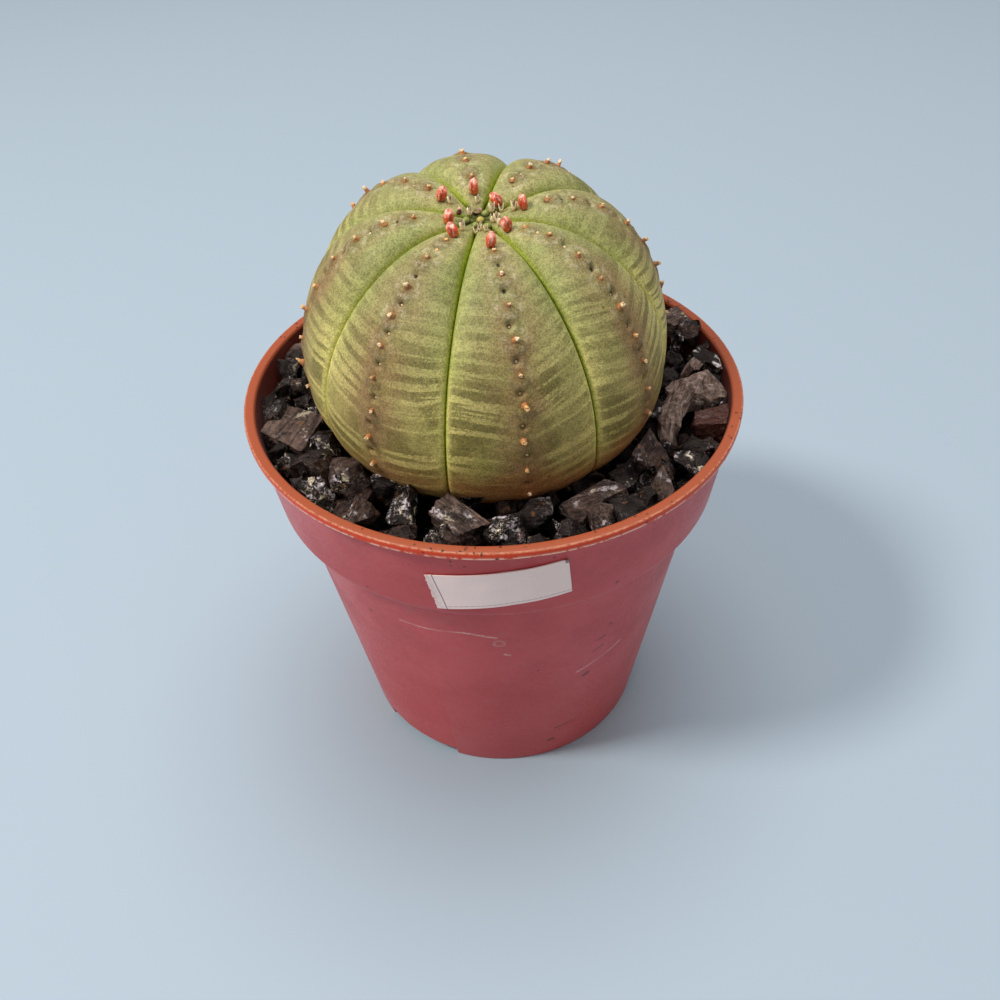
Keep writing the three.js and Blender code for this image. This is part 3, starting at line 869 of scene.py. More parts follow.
def ribs_tree():
    """Raises the ribs, creases the furrows and models the scars."""
    number = "Float"
    graph, given = geometry_tree(
        "ribs and furrows",
        [
            ("Scars", "Object", None),
            ("Mounds", "Object", None),
            ("Dimples", "Object", None),
            ("Finish", "Material", None),
            ("Rib height", number, 0.3),
            ("Shoulder height", number, 1.5),
            ("Shoulder arc", number, SHOULDER_ARC),
            ("Shoulder spread", number, SHOULDER_SPREAD),
            ("Rib fullness", number, 2.6),
            ("Crown radius", number, CROWN_RADIUS),
            ("Crease depth", number, 0.4),
            ("Crease width", number, 0.22),
            ("Tubercle height", number, 0.3),
            ("Tubercle radius", number, 0.95),
            ("Dimple depth", number, 0.4),
            ("Dimple radius", number, 0.3),
            ("Wrinkle depth", number, 0.1),
        ],
    )
    place = graph.parts(graph.named("place"))
    side = graph.parts(graph.named("side"))
    wrap = graph.named("wrap")

    def distance_to(target):
        """Distance in millimetres to the nearest point of another object."""
        info = graph.add("GeometryNodeObjectInfo", {"Object": given[target]})
        near = graph.add("GeometryNodeProximity", {0: info.outputs["Geometry"]}, target_element="POINTS")
        return graph.math("DIVIDE", near.outputs["Distance"], MM)

    def raised(geometry, height):
        """Moves the surface outwards by a height in millimetres."""
        offset = graph.sized(graph.named("out"), graph.product(height, MM))
        return graph.add("GeometryNodeSetPosition", {"Geometry": geometry, "Offset": offset}).outputs[0]

    shoulder = graph.bell(place[1], given["Shoulder arc"], given["Shoulder spread"])
    young = graph.less(1.0, graph.bell(side[1], 0.0, given["Crown radius"]))
    height = graph.product(
        graph.total(given["Rib height"], graph.product(shoulder, given["Shoulder height"])), young
    )
    crest = graph.less(1.0, graph.math("POWER", side[0], given["Rib fullness"]))
    deepening = graph.step(side[1], 0.3, 3.0)
    crease = graph.product(
        graph.bell(place[2], 0.0, given["Crease width"]), given["Crease depth"], deepening
    )
    folds = graph.less(graph.noise(graph.scaled(wrap, (0.16, 0.16, 0.62)), 1.0, 3.0, 0.6), 0.5)
    folds = graph.product(folds, given["Wrinkle depth"], graph.step(place[1], 4.0, 18.0))
    ribs = raised(given["Geometry"], graph.less(graph.total(graph.product(height, crest), folds), crease))

    to_scar = distance_to("Scars")
    to_mound = distance_to("Mounds")
    to_dimple = distance_to("Dimples")
    near = graph.joined(to_scar, to_dimple, to_mound)
    kept = graph.add(
        "GeometryNodeStoreNamedAttribute",
        {"Geometry": ribs, "Name": "near", "Value": near},
        data_type="FLOAT_VECTOR",
        domain="POINT",
    )
    tubercle = graph.product(graph.bell(to_mound, 0.0, given["Tubercle radius"]), given["Tubercle height"])
    grown = graph.step(place[1], 5.0, 15.0, 0.45, 1.0)
    dimple = graph.product(graph.bell(to_dimple, 0.0, given["Dimple radius"]), given["Dimple depth"], grown)
    lip = graph.product(graph.bell(to_dimple, 0.7, 0.3), given["Dimple depth"], 0.2, grown)
    detailed = raised(kept.outputs[0], graph.less(graph.total(tubercle, lip), dimple))
    close_tree(graph, detailed, given["Finish"])
    return graph.tree


def skin_finish(skin):
    """Dull, finely felted skin: cross bands, a bloom along the crests and bright green furrows."""
    material, graph, surface, spot = finish_named("plant_skin")
    from_crest, arc, from_furrow = graph.parts(graph.field("place"))
    near = graph.parts(graph.field("near"))
    wrap = graph.field("wrap")
    height = graph.parts(spot)[2]

    patches = graph.noise(spot, 0.22, 3.0, 0.55)
    fine = graph.noise(spot, 1.7, 4.0, 0.65)
    grain = graph.noise(spot, 4.6, 3.0, 0.65)

    slope = graph.step(
        graph.noise(graph.scaled(wrap, (0.045, 0.045, 0.03)), 1.0, 1.0), 0.35, 0.65, 0.14, 0.36
    )
    sway = graph.product(graph.noise(graph.scaled(wrap, (0.12, 0.12, 0.2)), 1.0, 3.0, 0.6), 0.8)
    level = graph.total(arc, graph.product(from_crest, slope), sway)
    turned_wrap = graph.parts(wrap)

    def band_noise(round_scale, level_scale):
        """Noise drawn out round the body, which follows the sway of the bands."""
        x, y = (graph.product(part, round_scale) for part in turned_wrap[:2])
        return graph.noise(graph.joined(x, y, graph.product(level, level_scale)), 1.0, 2.0, 0.5)

    broad = band_noise(0.035, 0.56)
    thin = band_noise(0.08, 1.5)
    roughness = graph.total(graph.product(fine, 0.22), graph.product(grain, 0.22))
    patch = graph.step(
        graph.noise(graph.scaled(wrap, (0.2, 0.2, 0.16)), 1.0, 2.0, 0.5), 0.38, 0.56, 0.5, 1.0
    )
    waves = graph.total(graph.product(broad, 1.4), thin)
    low = graph.step(arc, 7.0, 22.0, 0.25, 1.0)
    flank = graph.product(graph.step(from_furrow, 0.1, 0.9), graph.step(from_crest, 0.4, 2.4, 0.25, 1.0))
    beat = graph.product(graph.math("SINE", graph.product(level, 4.0)), 0.095)
    aged = graph.bell(graph.vector("DISTANCE", wrap, (-0.7, -20.0, 28.0)), 0.0, 4.8)
    bands = graph.step(
        graph.total(broad, roughness, graph.product(beat, 0.75), graph.product(aged, 0.04)), 0.725, 0.775
    )
    lines = graph.product(graph.step(graph.total(thin, roughness, beat), 0.71, 0.77), 0.85)
    pale_lines = graph.step(graph.total(broad, roughness), 0.69, 0.61)
    band_share = graph.product(graph.math("MAXIMUM", bands, lines), low, flank, patch, 0.95)

    base = graph.mix(
        graph.step(patches, 0.35, 0.68), skin.sage, [c * f for c, f in zip(skin.sage, (0.84, 0.90, 0.82))]
    )
    base = graph.mix(graph.product(pale_lines, low, 0.07), base, (0.44, 0.43, 0.2))
    base = graph.mix(band_share, base, skin.band)
    # Lower body: a warmer tone, and painted light that lifts its shaded lower part.
    lower_warmth_and_light = graph.step(arc, 10.0, 28.0)
    base = graph.mix(lower_warmth_and_light, base, graph.tinted(base, (1.88, 1.565, 1.38)))
    base = graph.mix(graph.product(aged, 0.9), base, graph.tinted(base, (0.74, 0.77, 0.66)))

    cloud = graph.step(graph.noise(graph.scaled(wrap, (0.3, 0.3, 0.22)), 1.0, 3.0, 0.6), 0.34, 0.62)
    haze = graph.product(
        graph.bell(from_crest, 0.0, 2.6), cloud, graph.step(arc, 8.0, 19.0, 0.35, 1.0), 0.85
    )
    base = graph.mix(haze, base, skin.haze)
    worn = graph.product(
        graph.bell(from_crest, 0.0, 1.9), graph.step(arc, 12.0, 21.0), graph.step(fine, 0.3, 0.55), 0.75
    )
    base = graph.mix(worn, base, (0.215, 0.120, 0.042))
    shade = graph.product(graph.bell(near[2], 0.0, 1.0), graph.step(grain, 0.2, 0.6), 0.7)
    base = graph.mix(shade, base, (0.145, 0.092, 0.038))
    pale = graph.product(
        graph.bell(near[0], 1.15, 0.35), graph.step(fine, 0.4, 0.6), graph.step(arc, 22.0, 14.0, 0.06, 0.28)
    )
    base = graph.mix(pale, base, (0.55, 0.48, 0.36))
    # Painted shade: a dark ring round the foot of each swelling below a stalk scar.
    crescent_shade = graph.product(graph.bell(near[2], 0.85, 0.17), graph.step(fine, 0.38, 0.6), 0.55)
    base = graph.mix(crescent_shade, base, (0.12, 0.105, 0.03))
    foot = graph.product(graph.bell(near[0], 0.0, 0.5), 0.7)
    base = graph.mix(foot, base, (0.22, 0.12, 0.05))

    # Painted light: the flanks beside each furrow are lightened to lift their shade.
    furrow_side_light = graph.product(graph.bell(from_furrow, 0.0, 1.5), graph.step(arc, 1.0, 5.0, 0.3, 1.0))
    base = graph.mix(furrow_side_light, base, graph.tinted(base, (1.26, 1.33, 1.24)))
    bright = graph.product(graph.bell(from_furrow, 0.0, graph.step(arc, 4.0, 14.0, 0.26, 0.18)), 0.95)
    base = graph.mix(bright, base, skin.furrow)
    # Painted shade: a dark line along each furrow's crease.
    cut_width = graph.total(graph.step(arc, 0.5, 4.5, 0.14, 0.07), graph.step(arc, 6.0, 16.0, 0.0, 0.03))
    cut = graph.product(graph.bell(from_furrow, 0.0, cut_width), 0.92)
    base = graph.mix(
        cut, base, graph.mix(graph.step(arc, 5.0, 14.0), (0.10, 0.12, 0.003), (0.045, 0.052, 0.002))
    )

    # Painted shade at the furrow ends by the apex and in the hollow of the crown.
    ends = graph.product(graph.bell(from_furrow, 0.0, 0.2), graph.step(arc, 4.2, 2.2), 0.85)
    base = graph.mix(ends, base, (0.016, 0.024, 0.003))
    crown = graph.product(graph.bell(graph.parts(graph.field("side"))[1], 0.0, 1.7), 0.92)
    base = graph.mix(crown, base, (0.03, 0.04, 0.006))

    cork = graph.step(graph.total(height, graph.product(patches, 5.0)), 58.3, 52.6)
    left = graph.step(turned_wrap[0], -9.0, 0.0, 0.4, 1.0)
    base = graph.mix(graph.product(cork, left, 0.85), base, skin.cork)
    # Painted shade in the leaf-scar pits.
    pit_shade = graph.product(graph.step(near[1], graph.step(arc, 6.0, 16.0, 0.22, 0.31), 0.16), 0.97)
    base = graph.mix(pit_shade, base, (0.045, 0.03, 0.015))

    specks = graph.cells(spot, 0.42)
    dots = graph.product(graph.step(specks[0], 0.1, 0.06), graph.step(graph.noise(spot, 0.12), 0.52, 0.58))
    base = graph.mix(dots, base, (0.2, 0.11, 0.03))
    worm = graph.math("ABSOLUTE", graph.less(graph.noise(spot, 2.8, 2.0, 0.55), 0.5))
    felt = graph.total(graph.step(worm, 0.0, 0.1, 0.27, -0.13), graph.step(fine, 0.36, 0.66, 0.87, 1.1))
    base = graph.tinted(base, graph.grey(felt))
    base = graph.mix(graph.product(graph.step(grain, 0.62, 0.76), 0.2), base, (0.66, 0.64, 0.48))

    graph.fill(surface, {
        "Base Color": base,
        "Roughness": graph.step(fine, 0.3, 0.7, 0.5, 0.66),
        "Specular IOR Level": 0.15,
        "Subsurface Weight": 0.06,
        "Subsurface Radius": (0.6 * MM, 0.8 * MM, 0.2 * MM),
        "Subsurface Scale": 1.0,
    })
    ripple = graph.bump(graph.total(fine, graph.product(grain, 0.5)), 0.5, 0.14 * MM)
    graph.fill(surface, {"Normal": graph.bump(waves, 0.12, 0.25 * MM, ripple)})
    return material


class BASEBALL_OT_skin(bpy.types.Operator):
    """Builds the ribbed skin of the plant"""

    bl_idname = "baseball.skin"
    bl_label = "Skin"

    def execute(self, context):
        skin = settings().skin
        body = Body(skin)
        thing = new_object("globe_skin", smooth_body(body))
        places = {"Scars": scar_places(), "Mounds": mound_places(), "Dimples": dimple_places()}
        spots = {
            name: new_object(name, mesh_of(name, [body.crest(*place) for place in listed]))
            for name, listed in places.items()
        }
        material = skin_finish(skin)
        values = {
            "Finish": material,
            "Rib height": skin.rib_height,
            "Shoulder height": skin.shoulder_height,
            "Rib fullness": skin.rib_power,
            "Crease depth": skin.crease_depth,
            "Tubercle height": skin.tubercle_height,
            "Dimple depth": skin.dimple_depth,
            "Wrinkle depth": skin.wrinkle_depth,
        }
        apply_tree(thing, ribs_tree(), {**spots, **values})
        discard(*spots.values())
        outward(thing.data)
        smooth(thing.data)
        Skin.body = body
        Skin.tree = BVHTree.FromPolygons(
            [v.co for v in thing.data.vertices], [p.vertices for p in thing.data.polygons]
        )
        dress(thing, material, "plant_skin", "plant_body")
        return {"FINISHED"}


# ---------------------------------------------------------------- stalk scars


def upright(direction, spin):
    """Turn that stands a pattern's +Z along a direction."""
    turn = Vector(direction).to_track_quat("Z", "Y") @ Quaternion((0, 0, 1), spin)
    return turn.to_euler()


# Most that a stalk's ragged end reaches above its foot, in millimetres.
KNOB_HEIGHT = 1.0
KNOB_PATTERNS = 6
CUP_PATTERNS = 4


def knob_pattern(name, seed):
    """Broken stalk: a low, ragged nub on a spread foot."""
    rand = random.Random(seed)
    sides = 14
    levels = ((-0.5, 1.0), (0.0, 1.0), (0.2, 0.8), (0.45, 0.66), (0.7, 0.68), (0.95, 0.52), (0.8, 0.15))
    spikes = [rand.uniform(-0.3, 0.45) for _ in range(sides)]
    spikes = [(spikes[k] + spikes[k - 1]) / 2 for k in range(sides)]
    bend = rand.uniform(-0.15, 0.15)
    points = []
    for height, radius in levels:
        for k in range(sides):
            angle = 2 * math.pi * k / sides
            rough = noise.noise(Vector((math.cos(angle) * 1.6, math.sin(angle) * 1.6, height * 2 + seed)))
            lift = spikes[k] if height > 0.6 else 0
            r = 0.34 * radius * (1 + 0.45 * rough)
            points.append(
                (r * math.cos(angle) + bend * max(0, height), r * math.sin(angle), 0.6 * (height + lift))
            )
    faces = tube_faces(len(levels), sides)
    mesh = mesh_of(name, points, faces)
    outward(mesh)
    store(mesh, "share", [max(0.0, v.co.z / MM / 0.6) for v in mesh.vertices])
    smooth(mesh)
    return mesh


def disc_pattern(name):
    """Leaf scar: a small, low disc with a rounded edge."""
    mesh = turned(name, [(0, -0.1), (0.2, -0.1), (0.22, 0.0), (0.17, 0.07), (0, 0.09)], 12)
    store(mesh, "share", [1.0] * len(mesh.vertices))
    smooth(mesh)
    return mesh


def knob_finish():
    """Dry stalk: dark foot, orange-brown flank and a cream broken end, partly its own colour and partly a
    painted highlight.
    """
    material, graph, surface, spot = finish_named("dry_stalk")
    tone = graph.parts(graph.field("tone"))
    level = graph.number("share")
    grain = graph.noise(spot, 5.0, 3.0, 0.6)
    flank = graph.mix(tone[0], (0.58, 0.21, 0.05), (0.34, 0.12, 0.04))
    base = graph.mix(
        graph.step(graph.total(level, graph.product(grain, 0.3)), 0.05, 0.35), (0.24, 0.13, 0.06), flank
    )
    # Cream end: partly the dry stalk's own colour, partly painted highlight.
    tip = graph.mix(tone[1], (0.72, 0.42, 0.14), (0.85, 0.70, 0.45))
    base = graph.mix(graph.step(graph.total(level, graph.product(grain, 0.9)), 1.0, 1.35), base, tip)
    graph.fill(surface, {
        "Base Color": base,
        "Roughness": 0.5,
        "Normal": graph.bump(grain, 0.5, 0.08 * MM),
    })
    return material


class BASEBALL_OT_stalks(bpy.types.Operator):
    """Sets the broken flower stalks on the crests"""

    bl_idname = "baseball.stalks"
    bl_label = "Stalk scars"

    def execute(self, context):
        rand = random.Random(11)
        spots = []
        for rib, across, arc in scar_places():
            point, out = Skin.seat(rib, across, arc)
            sway = Vector((rand.uniform(-0.3, 0.3), rand.uniform(-0.3, 0.3), rand.uniform(-0.1, 0.4)))
            lean = (out + sway).normalized()
            size = rand.uniform(0.8, 1.32) * min(1.0, 0.55 + 0.035 * arc)
            broad = size * rand.uniform(0.75, 1.0)
            tall = size * rand.uniform(0.5, 1.15) * min(1.0, 0.4 + 0.04 * arc)
            room = PLANT_TOP - point.z
            sides = (size, broad, min(tall, room / KNOB_HEIGHT))
            tone = (rand.random(), rand.random(), 0)
            spots.append(
                (point, upright(lean, rand.uniform(0, 6)), sides, rand.randrange(KNOB_PATTERNS), tone)
            )
        for rib, across, arc in dimple_places():
            if rand.random() > 0.75:
                continue
            point, out = Skin.seat(rib, across, arc)
            size = rand.uniform(0.7, 1.0)
            tone = (0.2, rand.random(), 0)
            spots.append((point + out * 0.03, upright(out, 0), (size, size, size), KNOB_PATTERNS, tone))
        patterns = [knob_pattern(f"knob_{n}", n) for n in range(KNOB_PATTERNS)] + [disc_pattern("leaf_scar")]
        material = knob_finish()
        thing = set_out("stalk_scars", patterns, spots, material)
        dress(thing, material, "plant_skin")
        return {"FINISHED"}


# ---------------------------------------------------------------- buds and crown


def bud_mesh(name, bud, seed, twin):
    """Plump bud of three folded bracts: grooved sides, an uneven top and a narrow foot."""
    rand = random.Random(seed)
    rings, sides = 28, 42
    phase = rand.uniform(0, 6)
    twist = rand.uniform(-0.5, 0.5)
    tips = [rand.uniform(-0.22, 0.14) for _ in range(3)]
    wide, flat, bend = rand.uniform(0.93, 1.07), rand.uniform(0.8, 0.93), rand.uniform(-0.22, 0.22)
    points, share_up, groove = [], [], []
    for i in range(rings):
        t = i / (rings - 1)
        body = math.sin(math.pi * (0.13 + 0.75 * t)) ** 0.36 * (0.84 + 0.16 * math.sin(math.pi * t))
        body *= max(0.0, 1 - (max(0.0, t - 0.8) / 0.2) ** 2) ** 0.5 + 0.02
        for k in range(sides):
            angle = 2 * math.pi * k / sides
            turn = angle + phase + twist * t
            fold = abs(math.sin(1.5 * turn))
            dent = (1 - fold) ** 2 * math.sin(math.pi * min(1, 0.12 + 0.8 * t)) ** 0.5
            wave = 0.12 * noise.noise(Vector((2.2 * math.cos(angle), 2.2 * math.sin(angle), 3.4 * t + seed)))
            r = bud.radius * body * (1 - 0.15 * dent + wave)
            tip = tips[int((turn % (2 * math.pi)) / (2 * math.pi) * 3) % 3] * fold * t**3
            lean = bend * bud.height * t * t
            points.append(
                (
                    wide * r * math.cos(angle) + lean,
                    flat * r * math.sin(angle),
                    bud.height * (t + tip) - 0.15,
                )
            )
            share_up.append(t)
            groove.append(dent)
    faces = tube_faces(rings, sides)
    if twin:
        first = len(points)
        for x, y, z in points[:first]:
            points.append((0.62 * x + 0.42, 0.62 * y - 0.1, 0.5 * z - 0.12))
        faces += [tuple(v + first for v in f) for f in faces]
        share_up += share_up
        groove += groove
    mesh = mesh_of(name, points, faces)
    store(mesh, "share", share_up)
    store(mesh, "groove", groove)
    return mesh


def bud_finish(bud):
    """Waxy bud: orange-red flesh that pales to pink at its top, with painted shade in its grooves and
    painted highlight streaks.
    """
    material, graph, surface, spot = finish_named("waxy_bud")
    level = graph.number("share")
    groove = graph.number("groove")
    streaks = graph.noise(graph.scaled(spot, (1.0, 1.0, 0.45)), 3.2, 3.0, 0.6)
    variety = graph.noise(spot, 0.35, 1.0)
    base = graph.mix(
        graph.step(graph.total(level, graph.product(streaks, 0.8), graph.product(variety, 0.9)), 1.35, 1.9),
        bud.flesh,
        bud.blush,
    )
    base = graph.mix(graph.step(level, 0.5, 0.1, 0.0, 0.6), base, (0.72, 0.13, 0.03))
    base = graph.mix(graph.step(level, 0.16, 0.02), base, (0.2, 0.05, 0.02))
    # Painted shade in the grooves.
    base = graph.mix(graph.product(groove, 0.9), base, (0.2, 0.012, 0.008))
    # Painted highlight: pale streaks on the waxy skin.
    base = graph.mix(
        graph.product(graph.step(graph.total(streaks, graph.product(level, 0.1)), 0.6, 0.68), 0.5),
        base,
        (1.0, 0.66, 0.56),
    )
    graph.fill(surface, {
        "Base Color": base,
        "Roughness": 0.3,
        "Coat Weight": 0.45,
        "Coat Roughness": 0.15,
        "Subsurface Weight": 0.15,
        "Subsurface Radius": (0.5 * MM, 0.15 * MM, 0.1 * MM),
        "Subsurface Scale": 1.0,
        "Normal": graph.bump(streaks, 0.5, 0.08 * MM),
    })
    return material


class BASEBALL_OT_buds(bpy.types.Operator):
    """Builds the flower buds round the apex"""

    bl_idname = "baseball.buds"
    bl_label = "Flower buds"

    def execute(self, context):
        bud = settings().bud
        material = bud_finish(bud)
        for number, (rib, arc, across, tilt, heading) in enumerate(BUDS, 1):
            point = Skin.seat(rib, across, arc)[0]
            heading = math.radians(heading)
            lean = Vector((math.cos(heading), math.sin(heading), 0)) * math.tan(math.radians(tilt))
            axis = (UP + lean).normalized()
            mesh = bud_mesh(f"bud_{number:02d}", bud, number, twin=rib == 2)
            place = Matrix.Translation((point + UP * 0.12) * MM) @ upright(axis, number).to_matrix().to_4x4()
            mesh.transform(place)
            outward(mesh)
            smooth(mesh)
            thing = new_object(f"bud_{number:02d}", mesh)
            dress(thing, material, "bud", f"cyathium_{number:02d}")
        return {"FINISHED"}


def cup_pattern(name, seed, height, radius):
    """Dry cup left by a bud: thin walls with an uneven, lobed rim. inside is 1 within the hollow."""
    rand = random.Random(seed)
    sides = 20
    phase = rand.uniform(0, 6)
    lobes = rand.choice((2, 3))
    walls = [
        (0.0, 0.45, 0),
        (0.3, 0.7, 0),
        (0.65, 0.95, 0),
        (1.0, 1.0, 0),
        (1.0, 0.78, 1),
        (0.6, 0.6, 1),
        (0.3, 0.4, 1),
    ]
    points, inside = [], []
    for level, spread, within in walls:
        for k in range(sides):
            angle = 2 * math.pi * k / sides
            rough = noise.noise(Vector((*around(3, angle), seed)))
            tall = 1 + 0.35 * math.cos(lobes * angle + phase) + 0.25 * rough
            r = radius * spread * (1 + 0.12 * math.cos(2 * angle + phase))
            points.append((*around(r, angle), height * level * tall - 0.12))
            inside.append(within)
    faces = tube_faces(len(walls), sides)
    mesh = mesh_of(name, points, faces)
    store(mesh, "inside", inside)
    store(mesh, "share", [max(0.0, min(1.0, v.co.z / MM / height)) for v in mesh.vertices])
    outward(mesh, merge=False)
    smooth(mesh)
    return mesh


def dome_pattern(name, seed):
    """Young tubercle: a smooth rounded knob, half sunk."""
    shape = bmesh.new()
    bmesh.ops.create_uvsphere(shape, u_segments=18, v_segments=12, radius=MM)
    for vertex in shape.verts:
        vertex.co *= 1 + 0.08 * noise.noise(vertex.co * 1300 + Vector((seed, 0, 0)))
    mesh = mesh_from(name, shape)
    store(mesh, "share", [0.5 + 0.5 * v.co.z / MM for v in mesh.vertices])
    smooth(mesh)
    return mesh


# Crown: kind, rib, place across it, distance from the apex, size, hue (0 cream, 1 maroon, 2 green, 3 gold).
CROWN = (
    ("cup", 4, -0.12, 2.42, 0.7, 0),
    ("ring", 4, 0.23, 1.15, 1.0, 1),
    ("cup", 5, 0.1, 3.71, 0.75, 0),
    ("knob", 5, 0.5, 2.37, 0.85, 1),
    ("cup", 5, 0.28, 1.2, 0.85, 0),
    ("cup", 7, -0.12, 2.88, 0.85, 0),
    ("cup", 0, -0.95, 2.2, 0.75, 0),
    ("cup", 0, -0.47, 2.16, 0.7, 0),
    ("cup", 0, 0.1, 2.5, 0.6, 0),
    ("cup", 1, -0.2, 2.57, 0.85, 0),
    ("cup", 1, 0.5, 1.9, 0.9, 0),
    ("cup", 1, 0.25, 1.49, 0.7, 0),
    ("cup", 2, 0.0, 3.61, 0.95, 0),
    ("cup", 2, 0.5, 2.4, 0.7, 0),
    ("cup", 3, -0.65, 1.65, 0.9, 0),
    ("dome", 0, 0.68, 1.6, 0.52, 2),
    ("dome", 3, 0.0, 0.95, 0.5, 2),
    ("dome", 6, 0.2, 1.5, 0.5, 2),
    ("dome", 7, 0.5, 1.2, 0.45, 2),
    ("dome", 0, 0.0, 0.25, 0.5, 3),
)


def crown_finish():
    """Scales and young tubercles of the crown: cream, maroon or yellow-green."""
    material, graph, surface, spot = finish_named("crown_scales")
    hue = graph.parts(graph.field("tone"))[0]
    level = graph.number("share")
    grain = graph.noise(spot, 4.0, 3.0, 0.6)
    dry = graph.mix(
        graph.step(graph.total(level, graph.product(grain, 0.3)), 0.15, 0.6),
        (0.6, 0.38, 0.16),
        (1.0, 0.86, 0.58),
    )
    dry = graph.mix(graph.product(graph.step(grain, 0.5, 0.62), 0.7), dry, (0.85, 0.66, 0.3))
    maroon = graph.mix(
        graph.step(graph.total(level, grain), 0.9, 1.4), (0.13, 0.03, 0.02), (0.72, 0.42, 0.34)
    )
    # Young tubercles: the lower part darkened as painted shade and the top lightened as painted light.
    green = graph.mix(graph.step(level, 0.6, 1.0), (0.03, 0.045, 0.005), (0.26, 0.28, 0.05))
    gold = graph.mix(
        graph.step(graph.total(level, graph.product(grain, 0.3)), 0.7, 1.1),
        (0.08, 0.08, 0.010),
        (0.46, 0.36, 0.07),
    )
    base = graph.mix(graph.step(hue, 0.4, 0.6), dry, maroon)
    base = graph.mix(graph.step(hue, 1.4, 1.6), base, green)
    base = graph.mix(graph.step(hue, 2.4, 2.6), base, gold)
    base = graph.mix(graph.product(graph.number("inside"), 0.75), base, (0.16, 0.08, 0.03))
    graph.fill(surface, {
        "Base Color": base,
        "Roughness": 0.45,
        "Normal": graph.bump(grain, 0.4, 0.08 * MM),
    })
    return material


class BASEBALL_OT_crown(bpy.types.Operator):
    """Sets the scale leaves and young tubercles round the apex"""

    bl_idname = "baseball.crown"
    bl_label = "Crown"

    def execute(self, context):
        rand = random.Random(17)
        patterns = [cup_pattern(f"cup_{n}", n, 0.8, 0.36) for n in range(CUP_PATTERNS)]
        patterns += [
            knob_pattern("crown_knob", 9), dome_pattern("dome", 3), cup_pattern("ring", 7, 0.3, 0.48)
        ]
        kinds = {kind: CUP_PATTERNS + k for k, kind in enumerate(("knob", "dome", "ring"))}
        spots = []
        for kind, rib, across, arc, size, hue in CROWN:
            point, out = Skin.seat(rib, across, arc)
            pick = kinds.get(kind, rand.randrange(CUP_PATTERNS))
            turn = upright((out + UP).normalized(), rand.uniform(0, 6))
            sink = 0.2 if kind == "dome" else 0.0
            tall = {"cup": 1.3, "dome": 1.2}.get(kind, 1.0)
            spots.append((point - out * sink, turn, (size, size, size * tall), pick, (hue, 0, 0)))
        material = crown_finish()
        thing = set_out("crown_scales", patterns, spots, material)
        dress(thing, material, "plant_skin")
        return {"FINISHED"}


# ---------------------------------------------------------------- grit


class Draw:
    """Seeded draw of numbers from 0 to 1, the same as the one that places the solid stones."""

    def __init__(self, seed):
        self.state = seed

    def __call__(self):
        self.state = (self.state + 0x6D2B79F5) & 0xFFFFFFFF
        value = self.multiply(self.state ^ (self.state >> 15), self.state | 1)
        value ^= (value + self.multiply(value ^ (value >> 7), value | 61)) & 0xFFFFFFFF
        return ((value ^ (value >> 14)) & 0xFFFFFFFF) / 4294967296

    @staticmethod
    def multiply(a, b):
        return (a * b) & 0xFFFFFFFF


COMMON_FINISHES = ("black", "black", "black", "black", "glint", "glint", "umber", "brown", "rust")
STONE_SIZES = (4.7, 3.9, 3.2, 2.5)
STONE_SIDES = (1.25, 0.95, 0.95)
DARTS = 420
PACKING = 0.9
INNER_RADIUS = 15.5
OUTER_RADIUS = 27.6
# Stones nearer to the plant's axis than this lie deeper, by this share of the difference.
PLANT_REACH = 21.0
DIP_BY_PLANT = 0.3
# Stones heaped against the wall: from which azimuth to which, and the height of their middles.
HEAP_SECTOR = (36.0, 313)
HEAP_HEIGHT = 48.9
# Patterns of stone: how many, the corners of the common ones, and the longest edges.
COMMON_STONES = 16
COMMON_CORNERS = (8, 13, 15, 17)
CHIP_PATTERNS = 8
COMMON_EDGE = 0.15
LARGE_EDGE = 0.1
BLOCKY_FINISHES = ("slab", "red", "grain", "layered")
STONE_GRAIN = {"grain": 0.12, "layered": 0.09, "slab": 0.03}
# Stones are drawn this much larger than their sides say, so that they touch.
STONE_OVERLAP = 1.1


def collar_radius(height):
    span = POT_HEIGHT - FLANGE_HEIGHT - COLLAR_BOTTOM
    return COLLAR_BOTTOM_RADIUS + (COLLAR_TOP_RADIUS - COLLAR_BOTTOM_RADIUS) * (
        height - COLLAR_BOTTOM
    ) / span


def stone(x, y, z, size, sides, heading, tilt, finish=None):
    """A stone to set out. Without a finish it gets a common one by draw."""
    place = {"x": x, "y": y, "z": z, "heading": heading, "tilt": tilt}
    return {**place, "size": size, "sides": sides, "finish": finish}


